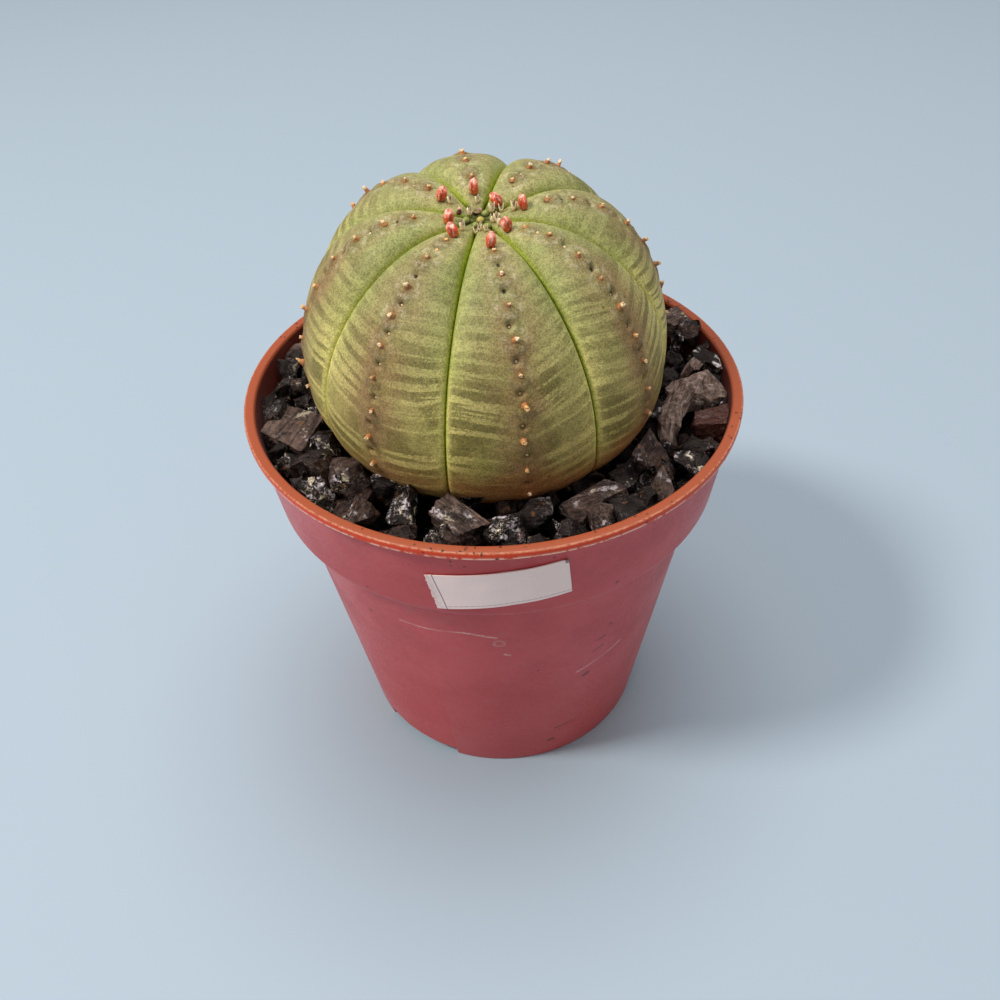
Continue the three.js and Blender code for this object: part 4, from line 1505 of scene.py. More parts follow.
def stone_spots(grit):
    """Places and sizes of all stones: the large ones, then those thrown in by size."""
    rand = Draw(grit.seed)
    stones = []
    for azimuth, radius, long, broad, high, heading, finish in BIG_STONES:
        x, y = around(radius, math.radians(azimuth))
        z = grit.bed_top + 0.42 * high
        tilt = 0.3 * (rand() - 0.5)
        sides = (long, broad, high)
        stones.append(stone(x, y, z, (long + broad) / 2, sides, math.radians(heading), tilt, finish))
    for size in STONE_SIZES:
        for _ in range(DARTS):
            radius = math.sqrt(INNER_RADIUS**2 + (OUTER_RADIUS**2 - INNER_RADIUS**2) * rand())
            x, y = around(radius, 2 * math.pi * rand())
            if any(math.hypot(x - s["x"], y - s["y"]) <= PACKING * (size + s["size"]) / 2 for s in stones):
                continue
            sides = tuple(size * side * (0.85 + 0.3 * rand()) for side in STONE_SIDES)
            reach = math.hypot(x - PLANT_CENTRE.x, y - PLANT_CENTRE.y)
            under = max(0, PLANT_REACH - reach) * DIP_BY_PLANT
            z = grit.bed_top + 0.26 * size + 0.8 * rand() - under
            heading = math.pi * rand()
            tilt = 0.9 * (rand() - 0.5)
            stones.append(stone(x, y, z, size, sides, heading, tilt))
    kept = [one for number, one in enumerate(stones) if number not in REPLACED_STONES]
    low, high = FACING_SECTOR
    for one in kept:
        if not one["finish"] and low < math.degrees(math.atan2(one["y"], one["x"])) < high:
            one["z"] -= FACING_DROP
    return kept


def facing_stones():
    """The stones set one by one."""
    return [
        stone(*middle, (sides[0] + sides[1]) / 2, sides, math.radians(heading), tilt, finish)
        for middle, sides, heading, tilt, finish in FACING_STONES
    ]


def wall_stones(rand):
    """Stones heaped against the pot's wall, on top of the others."""
    stones = []
    azimuth, last = HEAP_SECTOR
    while azimuth < last:
        size = rand.uniform(2.4, 3.8)
        radius = 28.0 - size / 2 + rand.uniform(-0.4, 0.3)
        x, y = around(radius, math.radians(azimuth))
        z = HEAP_HEIGHT + rand.uniform(-0.5, 0.6) + (0.7 if azimuth < 110 else 0)
        sides = (size * 1.2, size * 0.9, size * 0.85)
        stones.append(stone(x, y, z, size, sides, rand.uniform(0, math.pi), rand.uniform(-0.5, 0.5)))
        azimuth += math.degrees(size / radius) * rand.uniform(1.0, 2.2)
    return stones


def broken_stone(name, seed, corners, limit, bites, grain=0.0, flat_top=False):
    """Unit stone: a sharp block with scoops broken out of it. fresh is 1 where a scoop left bare glass."""
    rand = random.Random(seed)

    def any_way():
        return Vector((rand.gauss(0, 1), rand.gauss(0, 1), rand.gauss(0, 1))).normalized()

    shape = bmesh.new()
    for number in range(corners):
        way = any_way()
        if corners == 8:
            corner = Vector((number & 1, number >> 1 & 1, number >> 2 & 1)) - Vector((0.5, 0.5, 0.5))
            shape.verts.new(corner + way * 0.13)
        else:
            shape.verts.new(way * 0.5 / max(abs(c) for c in way) ** rand.uniform(0.3, 0.9))
    hull = bmesh.ops.convex_hull(shape, input=shape.verts)
    bmesh.ops.delete(shape, geom=hull["geom_interior"], context="VERTS")
    while limit:
        long = [e for e in shape.edges if e.calc_length() > limit]
        if not long:
            break
        bmesh.ops.subdivide_edges(shape, edges=long, cuts=1)
        bmesh.ops.triangulate(shape, faces=shape.faces)
    fresh = [0.0] * len(shape.verts)
    for _ in range(bites):
        centre = any_way() * rand.uniform(0.5, 0.95)
        radius = centre.length - rand.uniform(0.24, 0.42)
        for number, vertex in enumerate(shape.verts):
            away = vertex.co - centre
            if away.length < radius:
                vertex.co = centre + away.normalized() * radius
                fresh[number] = 1.0
    shape.normal_update()
    offset = any_way() * 40
    moves = []
    for vertex in shape.verts:
        chip = noise.noise(vertex.co * 5 + offset) + 0.5 * noise.noise(vertex.co * 13 + offset)
        ridge = abs(noise.noise(Vector((vertex.co.x * 0.9, vertex.co.y * 9, vertex.co.z * 9)) + offset))
        moves.append(vertex.normal * (0.03 * chip - grain * ridge))
    for vertex, move in zip(shape.verts, moves):
        vertex.co += move
        if flat_top:
            vertex.co.z = min(vertex.co.z, 0.26 + 0.02 * noise.noise(vertex.co * 3 + offset))
    mesh = mesh_from(name, shape)
    places = points_of(mesh)
    low, high = places.min(axis=0), places.max(axis=0)
    places = (places - (low + high) / 2) / (high - low)
    move_points(mesh, places * MM)
    store(mesh, "fresh", fresh)
    store(mesh, "local", places)
    return mesh


def keep_clear(mesh, body):
    """Draws the stones' corners in from the pot's wall and out of the plant."""
    places = points_of(mesh) / MM
    lean = np.array(body.lean)
    centre = np.array(PLANT_CENTRE)
    local = (places - centre) @ lean
    reach = np.maximum(np.hypot(local[:, 0], local[:, 1]), 0.01)
    lower = body.arc > body.arc[np.argmax(body.radius)]
    limit = np.interp(local[:, 2], body.height[lower][::-1], body.radius[lower][::-1]) + 0.3
    push = np.where((reach < limit) & (local[:, 2] < 1), limit / reach, 1)
    local[:, :2] *= push[:, None]
    places = local @ lean.T + centre
    reach = np.hypot(places[:, 0], places[:, 1])
    wall = collar_radius(np.maximum(places[:, 2], COLLAR_BOTTOM)) - WALL - 0.1
    places[:, :2] *= np.minimum(1, wall / reach)[:, None]
    move_points(mesh, places * MM)


def slag_finish(grit):
    """Glassy black slag: bare sparkling breaks, dull brown old faces, painted glints in pale veins and
    facets, and painted shade low down between the stones.
    """
    material, graph, surface, spot = finish_named("crushed_slag")
    tone = graph.parts(graph.field("tone"))
    fresh = graph.number("fresh")
    shine = graph.number("shine")
    local = graph.field("local")
    blotch = graph.noise(spot, 0.45, 4.0, 0.6)
    grain = graph.noise(spot, 2.2, 5.0, 0.7)
    layers = graph.noise(graph.scaled(local, (2.0, 13.0, 13.0)), 1.0, 4.0, 0.65)
    facets = graph.cells(
        graph.vector("ADD", graph.scaled(local, (3.4, 6.4, 5.0)), graph.scaled(spot, (0.2, 0.2, 0.2))), 1.0
    )
    old = graph.less(1.0, graph.product(fresh, 0.85))
    brown = graph.product(graph.step(graph.total(tone[0], graph.product(blotch, 0.9)), 0.82, 1.08), old)
    red = graph.product(graph.step(graph.total(tone[1], graph.product(blotch, 0.6)), 0.85, 1.1), 0.9, old)

    layering = graph.product(graph.less(layers, 0.5), graph.step(shine, 0.0, 0.6, 0.3, 1.0))
    ages = graph.step(graph.total(layering, graph.product(grain, 0.6)), 0.14, 0.5, 0.3, 1.75)
    earth = graph.mix(tone[2], grit.earth, grit.pale)
    earth = graph.mix(red, earth, (0.11, 0.036, 0.026))
    earth = graph.tinted(earth, graph.grey(ages))
    base = graph.mix(graph.math("MAXIMUM", brown, red), grit.slag, earth)
    rust = graph.product(
        graph.step(graph.noise(spot, 0.7, 3.0), 0.6, 0.68), graph.step(grain, 0.45, 0.6), 0.7
    )
    base = graph.mix(rust, base, (0.22, 0.09, 0.03))

    # Painted glints: pale colour and a little metal put into vein lines and chosen facets, standing in for
    # sparkling highlights.
    cluster = graph.step(graph.total(graph.noise(spot, 0.42, 2.0), graph.product(shine, 0.12)), 0.59, 0.67)
    bare = graph.math("MAXIMUM", graph.total(0.2, graph.product(fresh, 0.8)), shine)
    crackle_glint = graph.step(graph.math("ABSOLUTE", graph.less(graph.noise(spot, 2.6, 2.0, 0.6), 0.5)), 0.035, 0.01)
    chosen = graph.step(graph.total(graph.parts(facets[1])[0], graph.product(shine, 0.2)), 0.86, 0.9)
    glint = graph.product(graph.math("MAXIMUM", graph.product(crackle_glint, 0.65), chosen), cluster, bare)
    pale = graph.mix(graph.step(graph.parts(facets[1])[1], 0.2, 0.35), (1.0, 0.87, 0.62), (1.0, 0.88, 0.90))
    # Pale streaks along the layers of pale stones: partly their own striation, partly a painted sheen.
    streak_and_sheen = graph.product(
        graph.step(layers, 0.54, 0.62), graph.step(tone[2], 0.4, 0.8), graph.step(grain, 0.4, 0.6)
    )
    base = graph.mix(graph.product(streak_and_sheen, 0.55), base, (0.55, 0.46, 0.44))
    # Painted highlight: the glint colour.
    base = graph.mix(graph.product(glint, graph.step(grain, 0.42, 0.56)), base, pale)
    # Painted shade: colour and reflection darkened lower down between the stones.
    depth_shade = graph.step(graph.parts(spot)[2], 46.9, 48.7, 0.2, 1.0)
    painted_depth_shade = graph.grey(depth_shade)
    base = graph.tinted(base, painted_depth_shade)
    graph.fill(surface, {
        "Base Color": base,
        "Metallic": graph.product(glint, 0.15),
    })
    dull = graph.total(graph.product(brown, 0.38), graph.step(grain, 0.35, 0.75, 0.1, 0.24))
    graph.fill(surface, {
        "Roughness": dull,
        "IOR": 1.5,
        "Specular Tint": (1.0, 0.78, 0.72, 1),
        "Specular IOR Level": graph.product(graph.step(brown, 0.0, 0.8, 0.5, 0.22), depth_shade),
    })
    tilt = graph.vector("SUBTRACT", facets[1], (0.5, 0.5, 0.5))
    lean = graph.sized(tilt, graph.step(brown, 0.0, 0.7, 0.9, 0.15))
    normal = graph.add("ShaderNodeNewGeometry").outputs["Normal"]
    sparkle = graph.vector("NORMALIZE", graph.vector("ADD", normal, lean))
    relief = graph.total(grain, graph.product(layers, 0.8))
    graph.fill(surface, {"Normal": graph.bump(relief, 0.8, 0.38 * MM, sparkle)})
    return material


# Middle and radius of the hollow under the hooked stone.
HOLLOW = (23.6, -6.6, 2.1)
# Path of the hooked stone and its radius along it.
HOOK = (
    ((20.2, -9.6, 46.6), 1.1),
    ((20.6, -7.0, 48.0), 1.4),
    ((21.6, -4.0, 48.9), 1.6),
    ((23.4, -1.8, 49.4), 2.0),
    ((25.6, -1.4, 49.5), 2.4),
    ((26.6, -3.2, 49.4), 1.8),
    ((26.9, -4.8, 49.3), 0.9),
)


def in_hollow(x, y, margin):
    """Whether a stone of this half width would fill the hollow under the hooked stone."""
    return math.hypot(x - HOLLOW[0], y - HOLLOW[1]) < HOLLOW[2] + margin


def hooked_stone():
    """Stone that curls over a black hollow: an uneven tube along a bent path."""
    sides = 11
    steps = 3
    path, radii = [], []
    for (here, thick), (there, thin) in zip(HOOK, HOOK[1:]):
        for k in range(steps):
            share_gone = k / steps
            path.append(Vector(here).lerp(Vector(there), share_gone))
            radii.append(thick + (thin - thick) * share_gone)
    points, fresh, local = [], [], []
    for number, (centre, radius) in enumerate(zip(path, radii)):
        ahead = path[min(number + 1, len(path) - 1)] - path[max(number - 1, 0)]
        side = ahead.cross(UP).normalized()
        rise = side.cross(ahead).normalized()
        for k in range(sides):
            angle = 2 * math.pi * k / sides
            way = side * math.cos(angle) + rise * math.sin(angle)
            rough = 0.45 * noise.noise((centre + way * radius) * 0.7) + 0.3 * noise.noise(
                (centre + way * radius) * 2.1
            )
            points.append(centre + way * radius * (0.95 + rough))
            fresh.append(1.0 if k > sides * 0.6 else 0.0)
            local.append((number / 6, 0.25 * math.cos(angle), 0.25 * math.sin(angle)))
    faces = tube_faces(len(path), sides)
    mesh = mesh_of("hooked_stone", points, faces)
    store(mesh, "fresh", fresh)
    store(mesh, "local", local)
    outward(mesh, merge=False)
    return mesh


def bed_mesh(grit):
    """Lumpy bed between the stones, closed below."""
    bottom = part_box("potting_mix")[1].z / MM + 0.2
    segments = 160
    profile = [(0, bottom), (collar_radius(bottom) - WALL - 0.3, bottom)]
    top = collar_radius(grit.bed_top) - WALL - 0.25
    profile += [(top * (1 - (k / 30)), grit.bed_top) for k in range(0, 16)]
    profile += [(0, grit.bed_top)]
    mesh = turned("grit_bed", profile, segments)
    for vertex in mesh.vertices:
        if vertex.co.z > (grit.bed_top - 0.1) * MM:
            vertex.co.z += 0.7 * MM * noise.noise(vertex.co * 900) - 0.3 * MM
    return mesh


class BASEBALL_OT_grit(bpy.types.Operator):
    """Lays the crushed slag round the plant"""

    bl_idname = "baseball.grit"
    bl_label = "Grit"

    def execute(self, context):
        grit = settings().grit
        rand = random.Random(grit.seed)
        material = slag_finish(grit)
        common = [
            broken_stone(f"stone_{n}", 100 + n, COMMON_CORNERS[n % 4], COMMON_EDGE, 5 + n % 5)
            for n in range(COMMON_STONES)
        ]
        patterns = list(common)
        spots = []
        for one in stone_spots(grit) + wall_stones(rand) + facing_stones():
            finish = one["finish"]
            turn = Euler((one["tilt"], 0, one["heading"]), "XYZ")
            if finish:
                pick = len(patterns)
                grain = STONE_GRAIN.get(finish, 0.0)
                corners, bites = (8, 1) if finish in BLOCKY_FINISHES else (15, 6)
                if finish == "red":
                    bites = 0
                name = f"large_{pick}"
                flat_top = finish == "slab"
                patterns.append(broken_stone(name, 500 + pick, corners, LARGE_EDGE, bites, grain, flat_top))
            else:
                pick = rand.randrange(len(common))
                finish = rand.choice(COMMON_FINISHES)
                flips = Euler([rand.choice((0, math.pi / 2, math.pi)) for _ in range(3)])
                turn = (turn.to_quaternion() @ flips.to_quaternion()).to_euler()
            tone = tuple(min(1, max(0, v + rand.uniform(-0.08, 0.08))) for v in STONE_FINISH[finish])
            size = tuple(STONE_OVERLAP * s for s in one["sides"])
            spots.append(((one["x"], one["y"], one["z"]), turn, size, pick, tone))
        stones = set_out("slag_stones", patterns, spots, material)
        keep_clear(stones.data, Skin.body)
        dress(stones, material, "grit", "grit")

        chips = [broken_stone(f"chip_{n}", 300 + n, 9, 0.0, 0) for n in range(CHIP_PATTERNS)]
        spots = []
        for _ in range(grit.chips):
            radius = math.sqrt(rand.uniform(17.5**2, 27.9**2))
            x, y = around(radius, rand.uniform(0, 2 * math.pi))
            size = rand.uniform(0.9, 2.2)
            point = (x, y, grit.bed_top + rand.uniform(-0.8, 0.8))
            if in_hollow(x, y, size / 2):
                continue
            turn = Euler([rand.uniform(0, 6.28) for _ in range(3)])
            sides = (size * rand.uniform(0.8, 1.5), size, size * rand.uniform(0.6, 1.0))
            tone = (0.35 * rand.random(), 0.4 * rand.random(), 0.0, rand.random() ** 2)
            spots.append((point, turn, sides, rand.randrange(len(chips)), tone))
        small = set_out("slag_chips", chips, spots, material)
        keep_clear(small.data, Skin.body)
        dress(small, material, "grit")

        hook = new_object("hooked_stone", hooked_stone())
        store(hook.data, "tone", [(0.95, 0.0, 0.85)] * len(hook.data.vertices))
        store(hook.data, "shine", [0.3] * len(hook.data.vertices))
        dress(hook, material, "grit")

        bed = new_object("grit_bed", bed_mesh(grit))
        store(bed.data, "tone", [(0.0, 0.0, 0.0)] * len(bed.data.vertices))
        store(bed.data, "local", points_of(bed.data) / (4 * MM))
        dress(bed, material, "grit")
        return {"FINISHED"}


class BASEBALL_OT_mix(bpy.types.Operator):
    """Gives the potting mix its crumbly finish"""

    bl_idname = "baseball.mix"
    bl_label = "Potting mix"

    def execute(self, context):
        material, graph, surface, spot = finish_named("potting_mix")
        crumbs = graph.cells(spot, 0.9)
        grain = graph.noise(spot, 1.8, 4.0, 0.65)
        base = graph.mix(grain, (0.03, 0.02, 0.012), (0.1, 0.06, 0.035))
        base = graph.mix(graph.step(graph.parts(crumbs[1])[0], 0.86, 0.9), base, (0.4, 0.36, 0.3))
        graph.fill(surface, {
            "Base Color": base,
            "Roughness": 0.95,
            "Normal": graph.bump(graph.total(grain, crumbs[0]), 0.9, 0.6 * MM),
        })
        mix = frame["nodes"]["potting_mix"]
        mix.data.materials.clear()
        mix.data.materials.append(material)
        return {"FINISHED"}


# ---------------------------------------------------------------- pot


def pot_profile():
    """Half section of the pot, from the middle of its underside round the outside to its inner floor."""
    flange = POT_HEIGHT - FLANGE_HEIGHT
    outside = [
        (0, 0),
        (BASE_RADIUS - 0.05, 0),
        (BODY_TOP_RADIUS, BODY_TOP),
        (BODY_TOP_RADIUS + 0.3, BODY_TOP + 0.35),
        (COLLAR_BOTTOM_RADIUS - 0.35, COLLAR_BOTTOM - 0.65),
        (COLLAR_BOTTOM_RADIUS, COLLAR_BOTTOM),
        (COLLAR_TOP_RADIUS, flange - 0.02),
        (RIM_RADIUS - 0.06, flange),
        (RIM_RADIUS - 0.02, flange + 0.3),
        (RIM_RADIUS, POT_HEIGHT - 0.05),
        (MOUTH_RADIUS + 0.1, POT_HEIGHT - 0.02),
        (MOUTH_RADIUS - 0.1, POT_HEIGHT - 0.35),
        (COLLAR_BOTTOM_RADIUS - WALL, COLLAR_BOTTOM + 0.3),
        (BODY_TOP_RADIUS - WALL, BODY_TOP + 0.3),
        (BASE_RADIUS - WALL + 0.1, BASE_THICKNESS),
        (0, BASE_THICKNESS),
    ]
    return rounded(outside, 0.32)


def sector_block(name, inner, outer, azimuth, half_angle, bottom, top):
    """Block with the plan of a ring's sector."""
    steps = 16
    angles = [math.radians(azimuth + half_angle * (2 * k / steps - 1)) for k in range(steps + 1)]
    plan = [around(outer, a) for a in angles] + [around(inner, a) for a in angles[::-1]]
    count = len(plan)
    points = [(x, y, bottom) for x, y in plan] + [(x, y, top) for x, y in plan]
    faces = [(k, (k + 1) % count, (k + 1) % count + count, k + count) for k in range(count)]
    for k in range(steps):
        quad = (k, k + 1, count - 2 - k, count - 1 - k)
        faces += [quad[::-1], tuple(v + count for v in quad)]
    mesh = mesh_of(name, points, faces)
    outward(mesh)
    return new_object(name, mesh)


def carve(thing, tools, operation):
    """Joins solids to a piece or cuts them from it, and keeps the result."""
    for tool in tools:
        modifier = thing.modifiers.new("carve", "BOOLEAN")
        modifier.operation = operation
        modifier.solver = "EXACT"
        modifier.object = tool
    keep_result(thing, False)
    discard(*tools)


def pot_finish(pot):
    """Moulded plastic: dusty rose side, a flange in orange that is painted warm light on the same plastic,
    painted highlights on the rim, an inner wall darkened partly by soil and partly by painted shade, scuffs,
    scratches and soil specks.
    """
    material, graph, surface, spot = finish_named("pot_plastic")
    x, y, z = graph.parts(spot)
    reach = graph.math("SQRT", graph.total(graph.product(x, x), graph.product(y, y)))
    cloud = graph.noise(spot, 0.09, 4.0, 0.6)
    grain = graph.noise(spot, 2.2, 4.0, 0.65)
    rim = graph.step(z, POT_HEIGHT - FLANGE_HEIGHT - 0.12, POT_HEIGHT - FLANGE_HEIGHT + 0.06)
    wall_line = graph.total(graph.product(z, 0.1541), 19.4)
    collar_line = graph.total(graph.product(z, 0.1333), 22.0)
    middle = graph.mix(graph.step(z, 38.6, 38.8), graph.joined(wall_line), graph.joined(collar_line))
    inner = graph.step(graph.less(reach, graph.parts(middle)[0]), 0.1, -0.1)
    side = graph.mix(graph.step(cloud, 0.35, 0.7), pot.side, [c * 0.84 for c in pot.side])
    side = graph.mix(graph.step(z, 30.0, 6.0, 0.0, 0.75), side, (0.50, 0.049, 0.049))
    dust = graph.product(graph.step(graph.noise(spot, 0.35, 5.0, 0.7), 0.52, 0.75), 0.3)
    side = graph.mix(dust, side, (0.5, 0.14, 0.14))
    # Flange: the side's plastic coloured orange as painted warm light.
    base = graph.mix(rim, side, pot.rim)
    # Inner wall: partly soil stain, partly painted shade inside the pot.
    base = graph.mix(
        graph.product(inner, graph.step(z, POT_HEIGHT - 0.25, POT_HEIGHT - 0.5)), base, pot.inside
    )

    rough = graph.noise(spot, 1.4, 3.0, 0.6)
    shaky = graph.vector("ADD", spot, graph.scaled(graph.joined(rough, 0.0, rough), (0.5, 0.0, 0.5)))
    for start, end, width in SCRATCHES:
        shift = Vector((0.25, 0, 0.25))
        reach_of = graph.to_line(shaky, Vector(start) + shift, Vector(end) + shift)
        scratch = graph.product(graph.bell(reach_of, 0.0, width), graph.step(grain, 0.3, 0.55, 0.3, 0.9))
        base = graph.mix(scratch, base, (0.68, 0.42, 0.38))
    ring = graph.bell(graph.to_line(shaky, (-0.3, -24.7, 31.4), (-0.1, -24.7, 31.4)), 0.55, 0.14)
    base = graph.mix(graph.product(ring, 0.5), base, (0.5, 0.3, 0.25))
    for start, end, width in SPECKS:
        near = graph.to_line(spot, start, end)
        speck = graph.step(graph.total(near, graph.product(grain, 0.35)), width + 0.22, width + 0.08)
        base = graph.mix(graph.product(speck, 0.75), base, (0.11, 0.012, 0.01))
    # Painted light: the flange's outer face in a brighter red-orange.
    painted_flange_side = graph.product(graph.step(z, POT_HEIGHT - 0.1, POT_HEIGHT - 0.26), rim)
    painted_flange_side = graph.product(painted_flange_side, graph.step(reach, 29.8, 29.9))
    base = graph.mix(graph.product(painted_flange_side, 0.95), base, (0.64, 0.040, 0.004))
    lip = graph.bell(z, POT_HEIGHT - FLANGE_HEIGHT + 0.1, 0.2)
    jagged = graph.step(graph.noise(spot, 0.7, 4.0, 0.7), 0.4, 0.5)
    edge = graph.product(lip, jagged, graph.step(reach, 29.4, 29.7))
    base = graph.mix(edge, base, (1.0, 0.60, 0.44))
    # Painted highlight along the rim's outer top edge.
    painted_rim_highlight = graph.product(
        graph.bell(z, POT_HEIGHT - 0.1, 0.1), graph.step(reach, 29.7, 29.85), graph.step(grain, 0.35, 0.6)
    )
    base = graph.mix(graph.product(painted_rim_highlight, 0.5), base, (0.75, 0.36, 0.22))
    soil = graph.cells(graph.vector("ADD", shaky, graph.scaled(shaky, (0.3, 0.3, 0.0))), 0.95)
    dots = graph.product(
        graph.step(soil[0], 0.24, 0.16), graph.step(graph.noise(spot, 0.16, 2.0), 0.48, 0.56)
    )
    base = graph.mix(graph.product(dots, graph.step(z, 46.0, 50.5, 0.0, 0.85)), base, (0.04, 0.014, 0.008))
    graph.fill(surface, {
        "Base Color": base,
        "Roughness": graph.step(graph.total(grain, cloud), 0.7, 1.3, 0.32, 0.5),
        "Specular IOR Level": 0.3,
        "Sheen Weight": 0.05,
        "Sheen Roughness": 0.35,
        "Sheen Tint": (0.9, 0.75, 0.8, 1),
        "Subsurface Weight": 0.05,
        "Subsurface Radius": (0.8 * MM, 0.3 * MM, 0.2 * MM),
        "Subsurface Scale": 1.0,
        "Normal": graph.bump(graph.total(grain, graph.product(cloud, 0.6)), 0.25, 0.08 * MM),
    })
    return material


class BASEBALL_OT_pot(bpy.types.Operator):
    """Builds the moulded pot"""

    bl_idname = "baseball.pot"
    bl_label = "Pot"

    def execute(self, context):
        pot = settings().pot
        profile = pot_profile()
        thing = new_object("pot_shell", turned("pot_shell", profile, pot.segments))
        roof = DRAIN_HEIGHT + BASE_THICKNESS
        roof_angle = DRAIN_HALF_ANGLE + math.degrees(WALL / BASE_RADIUS)

        def blocks(name, inner, outer, half_angle, bottom, top):
            return [sector_block(name, inner, outer, a, half_angle, bottom, top) for a in DRAIN_AZIMUTHS]

        carve(thing, blocks("roof", DRAIN_INNER - WALL, BASE_RADIUS - 0.35, roof_angle, 0.02, roof), "UNION")
        hollows = blocks("hollow", DRAIN_INNER, DRAIN_OUTER, DRAIN_HALF_ANGLE, -1, DRAIN_HEIGHT)
        slots = blocks("slot", *SLOT_RADII, SLOT_HALF_ANGLE, -1.5, roof + 1)
        carve(thing, hollows + slots, "DIFFERENCE")
        smooth(thing.data)
        thing.data.set_sharp_from_angle(angle=math.radians(40))
        dress(thing, pot_finish(pot), "pot", "pot")
        return {"FINISHED"}


# ---------------------------------------------------------------- paper strip


STRIP_GRID = (150, 48)
STRIP_THICKNESS = 0.14


def strip_finish(strip):
    """Paper cut from a sheet: thin cut lines along its margin and fibres at the torn end."""
    material, graph, surface = finish_named("strip_paper")[:3]
    flat = graph.field("flat")
    along, up, _ = graph.parts(flat)
    fibre = graph.noise(flat, 2.4, 5.0, 0.7)
    half_long, half_wide = strip.length / 2, strip.width / 2
    base = graph.mix(fibre, strip.paper, [c * 0.9 for c in strip.paper])
    margin = graph.total(along, half_long - 1.15, graph.product(up, 0.06))
    line = graph.product(graph.bell(margin, 0.0, 0.075), 0.8)
    low = graph.total(up, half_wide - 0.42)
    dots = graph.step(graph.math("FRACT", graph.product(along, 1.6)), 0.2, 0.3, 0.35, 0.8)
    low_line = graph.product(graph.bell(low, 0.0, 0.05), dots, graph.step(margin, 0.0, 0.1), 0.75)
    corner = graph.product(
        graph.step(along, half_long - 0.42, half_long - 0.3),
        graph.step(up, half_wide - 0.55, half_wide - 0.4),
        0.75,
    )
    base = graph.mix(
        graph.math("MAXIMUM", graph.math("MAXIMUM", line, low_line), corner), base, (0.05, 0.04, 0.08)
    )
    torn = graph.product(graph.step(margin, -0.1, -0.5), graph.step(fibre, 0.35, 0.6))
    base = graph.mix(graph.product(torn, 0.5), base, (0.62, 0.42, 0.42))
    graph.fill(surface, {
        "Base Color": base,
        "Roughness": 0.75,
        "Normal": graph.bump(fibre, 0.35, 0.06 * MM),
    })
    return material


def strip_mesh(strip):
    """Thin strip that follows the collar, with a torn left end and slightly lifted corners."""
    columns, rows = STRIP_GRID
    skew = math.radians(strip.skew)
    points, flat = [], []
    for layer in (0.0, STRIP_THICKNESS):
        for i in range(rows):
            v = (i / (rows - 1) - 0.5) * strip.width
            tear = 0.3 + 0.25 * noise.noise(Vector((0, v * 1.1, 3))) + 0.35 * noise.noise(
                Vector((5, v * 9, 3))
            )
            left = -strip.length / 2 + 0.6 * max(0.0, tear)
            for j in range(columns):
                u = left + (strip.length / 2 - left) * (j / (columns - 1))
                wave = 0.05 * noise.noise(Vector((u * 0.4, v * 0.4, 9)))
                curl = 0.1 * max(0, abs(u) / (strip.length / 2) - 0.9) * 10 * (0.5 + v / strip.width)
                along = u * math.cos(skew) - v * math.sin(skew)
                height = strip.middle + u * math.sin(skew) + v * math.cos(skew)
                radius = collar_radius(height) + 0.08 + wave + max(0, curl) + layer
                angle = math.radians(strip.azimuth) + along / collar_radius(strip.middle)
                points.append((*around(radius, angle), height))
                flat.append((u, v, 0))
    sheet = grid_faces(rows, columns, False)
    count = rows * columns
    faces = [f[::-1] for f in sheet] + [tuple(v + count for v in f) for f in sheet]
    rim = list(range(columns)) + [i * columns + columns - 1 for i in range(1, rows)]
    rim += [(rows - 1) * columns + j for j in range(columns - 2, -1, -1)] + [
        i * columns for i in range(rows - 2, 0, -1)
    ]
    faces += [(a, b, b + count, a + count) for a, b in zip(rim, rim[1:] + rim[:1])]
    mesh = mesh_of("paper_strip", points, faces)
    store(mesh, "flat", flat)
    outward(mesh, merge=False)
    return mesh


class BASEBALL_OT_strip(bpy.types.Operator):
    """Sticks the blank paper strip on the collar"""

    bl_idname = "baseball.strip"
    bl_label = "Paper strip"

    def execute(self, context):
        strip = settings().strip
        mesh = strip_mesh(strip)
        smooth(mesh)
        mesh.set_sharp_from_angle(angle=math.radians(50))
        dress(new_object("paper_strip", mesh), strip_finish(strip), "label", "label")
        return {"FINISHED"}


# ---------------------------------------------------------------- stage

CAMERA_PLACE = Vector((0.0003055, -0.100245, 0.1222585))
CAMERA_PITCH = math.radians(42.14)
CAMERA_ROLL = math.radians(-2.32)
CAMERA_LENS = 36
CAMERA_SENSOR = 36
FLOOR_HALF_WIDTH = 1.5
# Lights, in metres: name of the power setting, place, width, colour.
LIGHTS = (
    ("key", (-0.46, -0.16, 0.66), 0.15, (1.0, 0.98, 0.94)),
    ("overhead", (0.05, 0.12, 0.8), 0.6, (0.97, 0.98, 1.0)),
)
LIGHT_AIM = (0, 0, 0.04)


def area_light(name, place, size, power, tint):
    light = bpy.data.lights.new(name, "AREA")
    light.shape = "DISK"
    light.size = size
    light.energy = power
    light.color = tint
    lamp = bpy.data.objects.new(name, light)
    lamp.location = place
    lamp.rotation_euler = (Vector(LIGHT_AIM) - Vector(place)).to_track_quat("-Z", "Y").to_euler()
    bpy.context.scene.collection.objects.link(lamp)


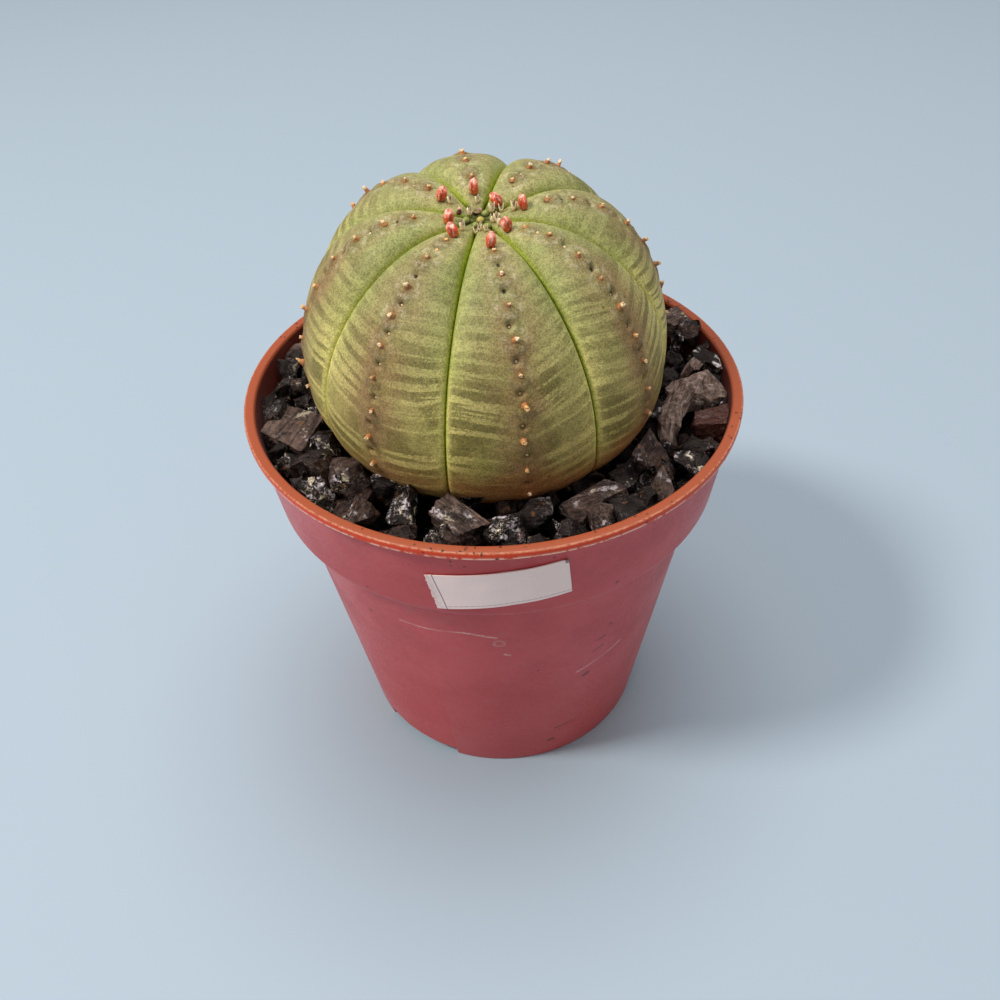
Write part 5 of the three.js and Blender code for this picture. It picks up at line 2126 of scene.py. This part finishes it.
class BASEBALL_OT_stage(bpy.types.Operator):
    """Sets the floor, the lights and the camera"""

    bl_idname = "baseball.stage"
    bl_label = "Stage"

    def execute(self, context):
        stage = settings().stage
        shape = bmesh.new()
        bmesh.ops.create_grid(shape, x_segments=1, y_segments=1, size=FLOOR_HALF_WIDTH)
        floor = new_object("floor", mesh_from("floor", shape))
        material, graph, surface, _ = finish_named("floor_paint")
        graph.fill(surface, {
            "Base Color": stage.floor,
            "Roughness": 0.7,
        })
        floor.data.materials.append(material)

        world = bpy.data.worlds.new("soft_sky")
        world.use_nodes = True
        sky = next(n for n in world.node_tree.nodes if n.type == "BACKGROUND")
        sky.inputs["Color"].default_value = (1.0, 0.99, 0.97, 1)
        sky.inputs["Strength"].default_value = stage.sky
        context.scene.world = world

        for name, place, size, tint in LIGHTS:
            area_light(name, place, size, getattr(stage, name), tint)

        forward = Vector((0, math.cos(CAMERA_PITCH), -math.sin(CAMERA_PITCH)))
        down = Vector((0, -math.sin(CAMERA_PITCH), -math.cos(CAMERA_PITCH)))
        across = Vector((1, 0, 0))
        right = math.cos(CAMERA_ROLL) * across - math.sin(CAMERA_ROLL) * down
        low = math.sin(CAMERA_ROLL) * across + math.cos(CAMERA_ROLL) * down
        lens = bpy.data.cameras.new("camera")
        lens.lens = CAMERA_LENS
        lens.sensor_width = CAMERA_SENSOR
        lens.clip_start = 0.005
        camera = bpy.data.objects.new("camera", lens)
        turn = Matrix((right, -low, -forward)).transposed()
        camera.matrix_world = Matrix.Translation(CAMERA_PLACE) @ turn.to_4x4()
        context.scene.collection.objects.link(camera)
        context.scene.camera = camera
        context.scene.view_settings.view_transform = "Standard"
        return {"FINISHED"}


# ---------------------------------------------------------------- panel and main

GROUPS = (SkinSettings, BudSettings, GritSettings, PotSettings, StripSettings, StageSettings, PlantSettings)
OPERATORS = (
    BASEBALL_OT_skin,
    BASEBALL_OT_stalks,
    BASEBALL_OT_buds,
    BASEBALL_OT_crown,
    BASEBALL_OT_grit,
    BASEBALL_OT_mix,
    BASEBALL_OT_pot,
    BASEBALL_OT_strip,
    BASEBALL_OT_stage,
)


class BASEBALL_PT_panel(bpy.types.Panel):
    """Lists the pieces of the potted baseball plant"""

    bl_idname = "BASEBALL_PT_panel"
    bl_label = "Baseball Plant"
    bl_space_type = "VIEW_3D"
    bl_region_type = "UI"
    bl_category = "Baseball Plant"

    def draw(self, context):
        for operator in OPERATORS:
            self.layout.operator(operator.bl_idname)
        for group in context.scene.baseball_plant.bl_rna.properties.keys():
            values = getattr(context.scene.baseball_plant, group)
            if not isinstance(values, bpy.types.PropertyGroup):
                continue
            box = self.layout.box()
            box.label(text=group.capitalize())
            for name in values.__annotations__:
                box.prop(values, name)


def register():
    for item in (*GROUPS, *OPERATORS, BASEBALL_PT_panel):
        bpy.utils.register_class(item)
    bpy.types.Scene.baseball_plant = PointerProperty(type=PlantSettings)


def unregister():
    del bpy.types.Scene.baseball_plant
    for item in (BASEBALL_PT_panel, *reversed(OPERATORS), *reversed(GROUPS)):
        bpy.utils.unregister_class(item)


def main():
    register()
    for operator in OPERATORS:
        family, name = operator.bl_idname.split(".")
        getattr(getattr(bpy.ops, family), name)()


if __name__ == "__main__":
    main()
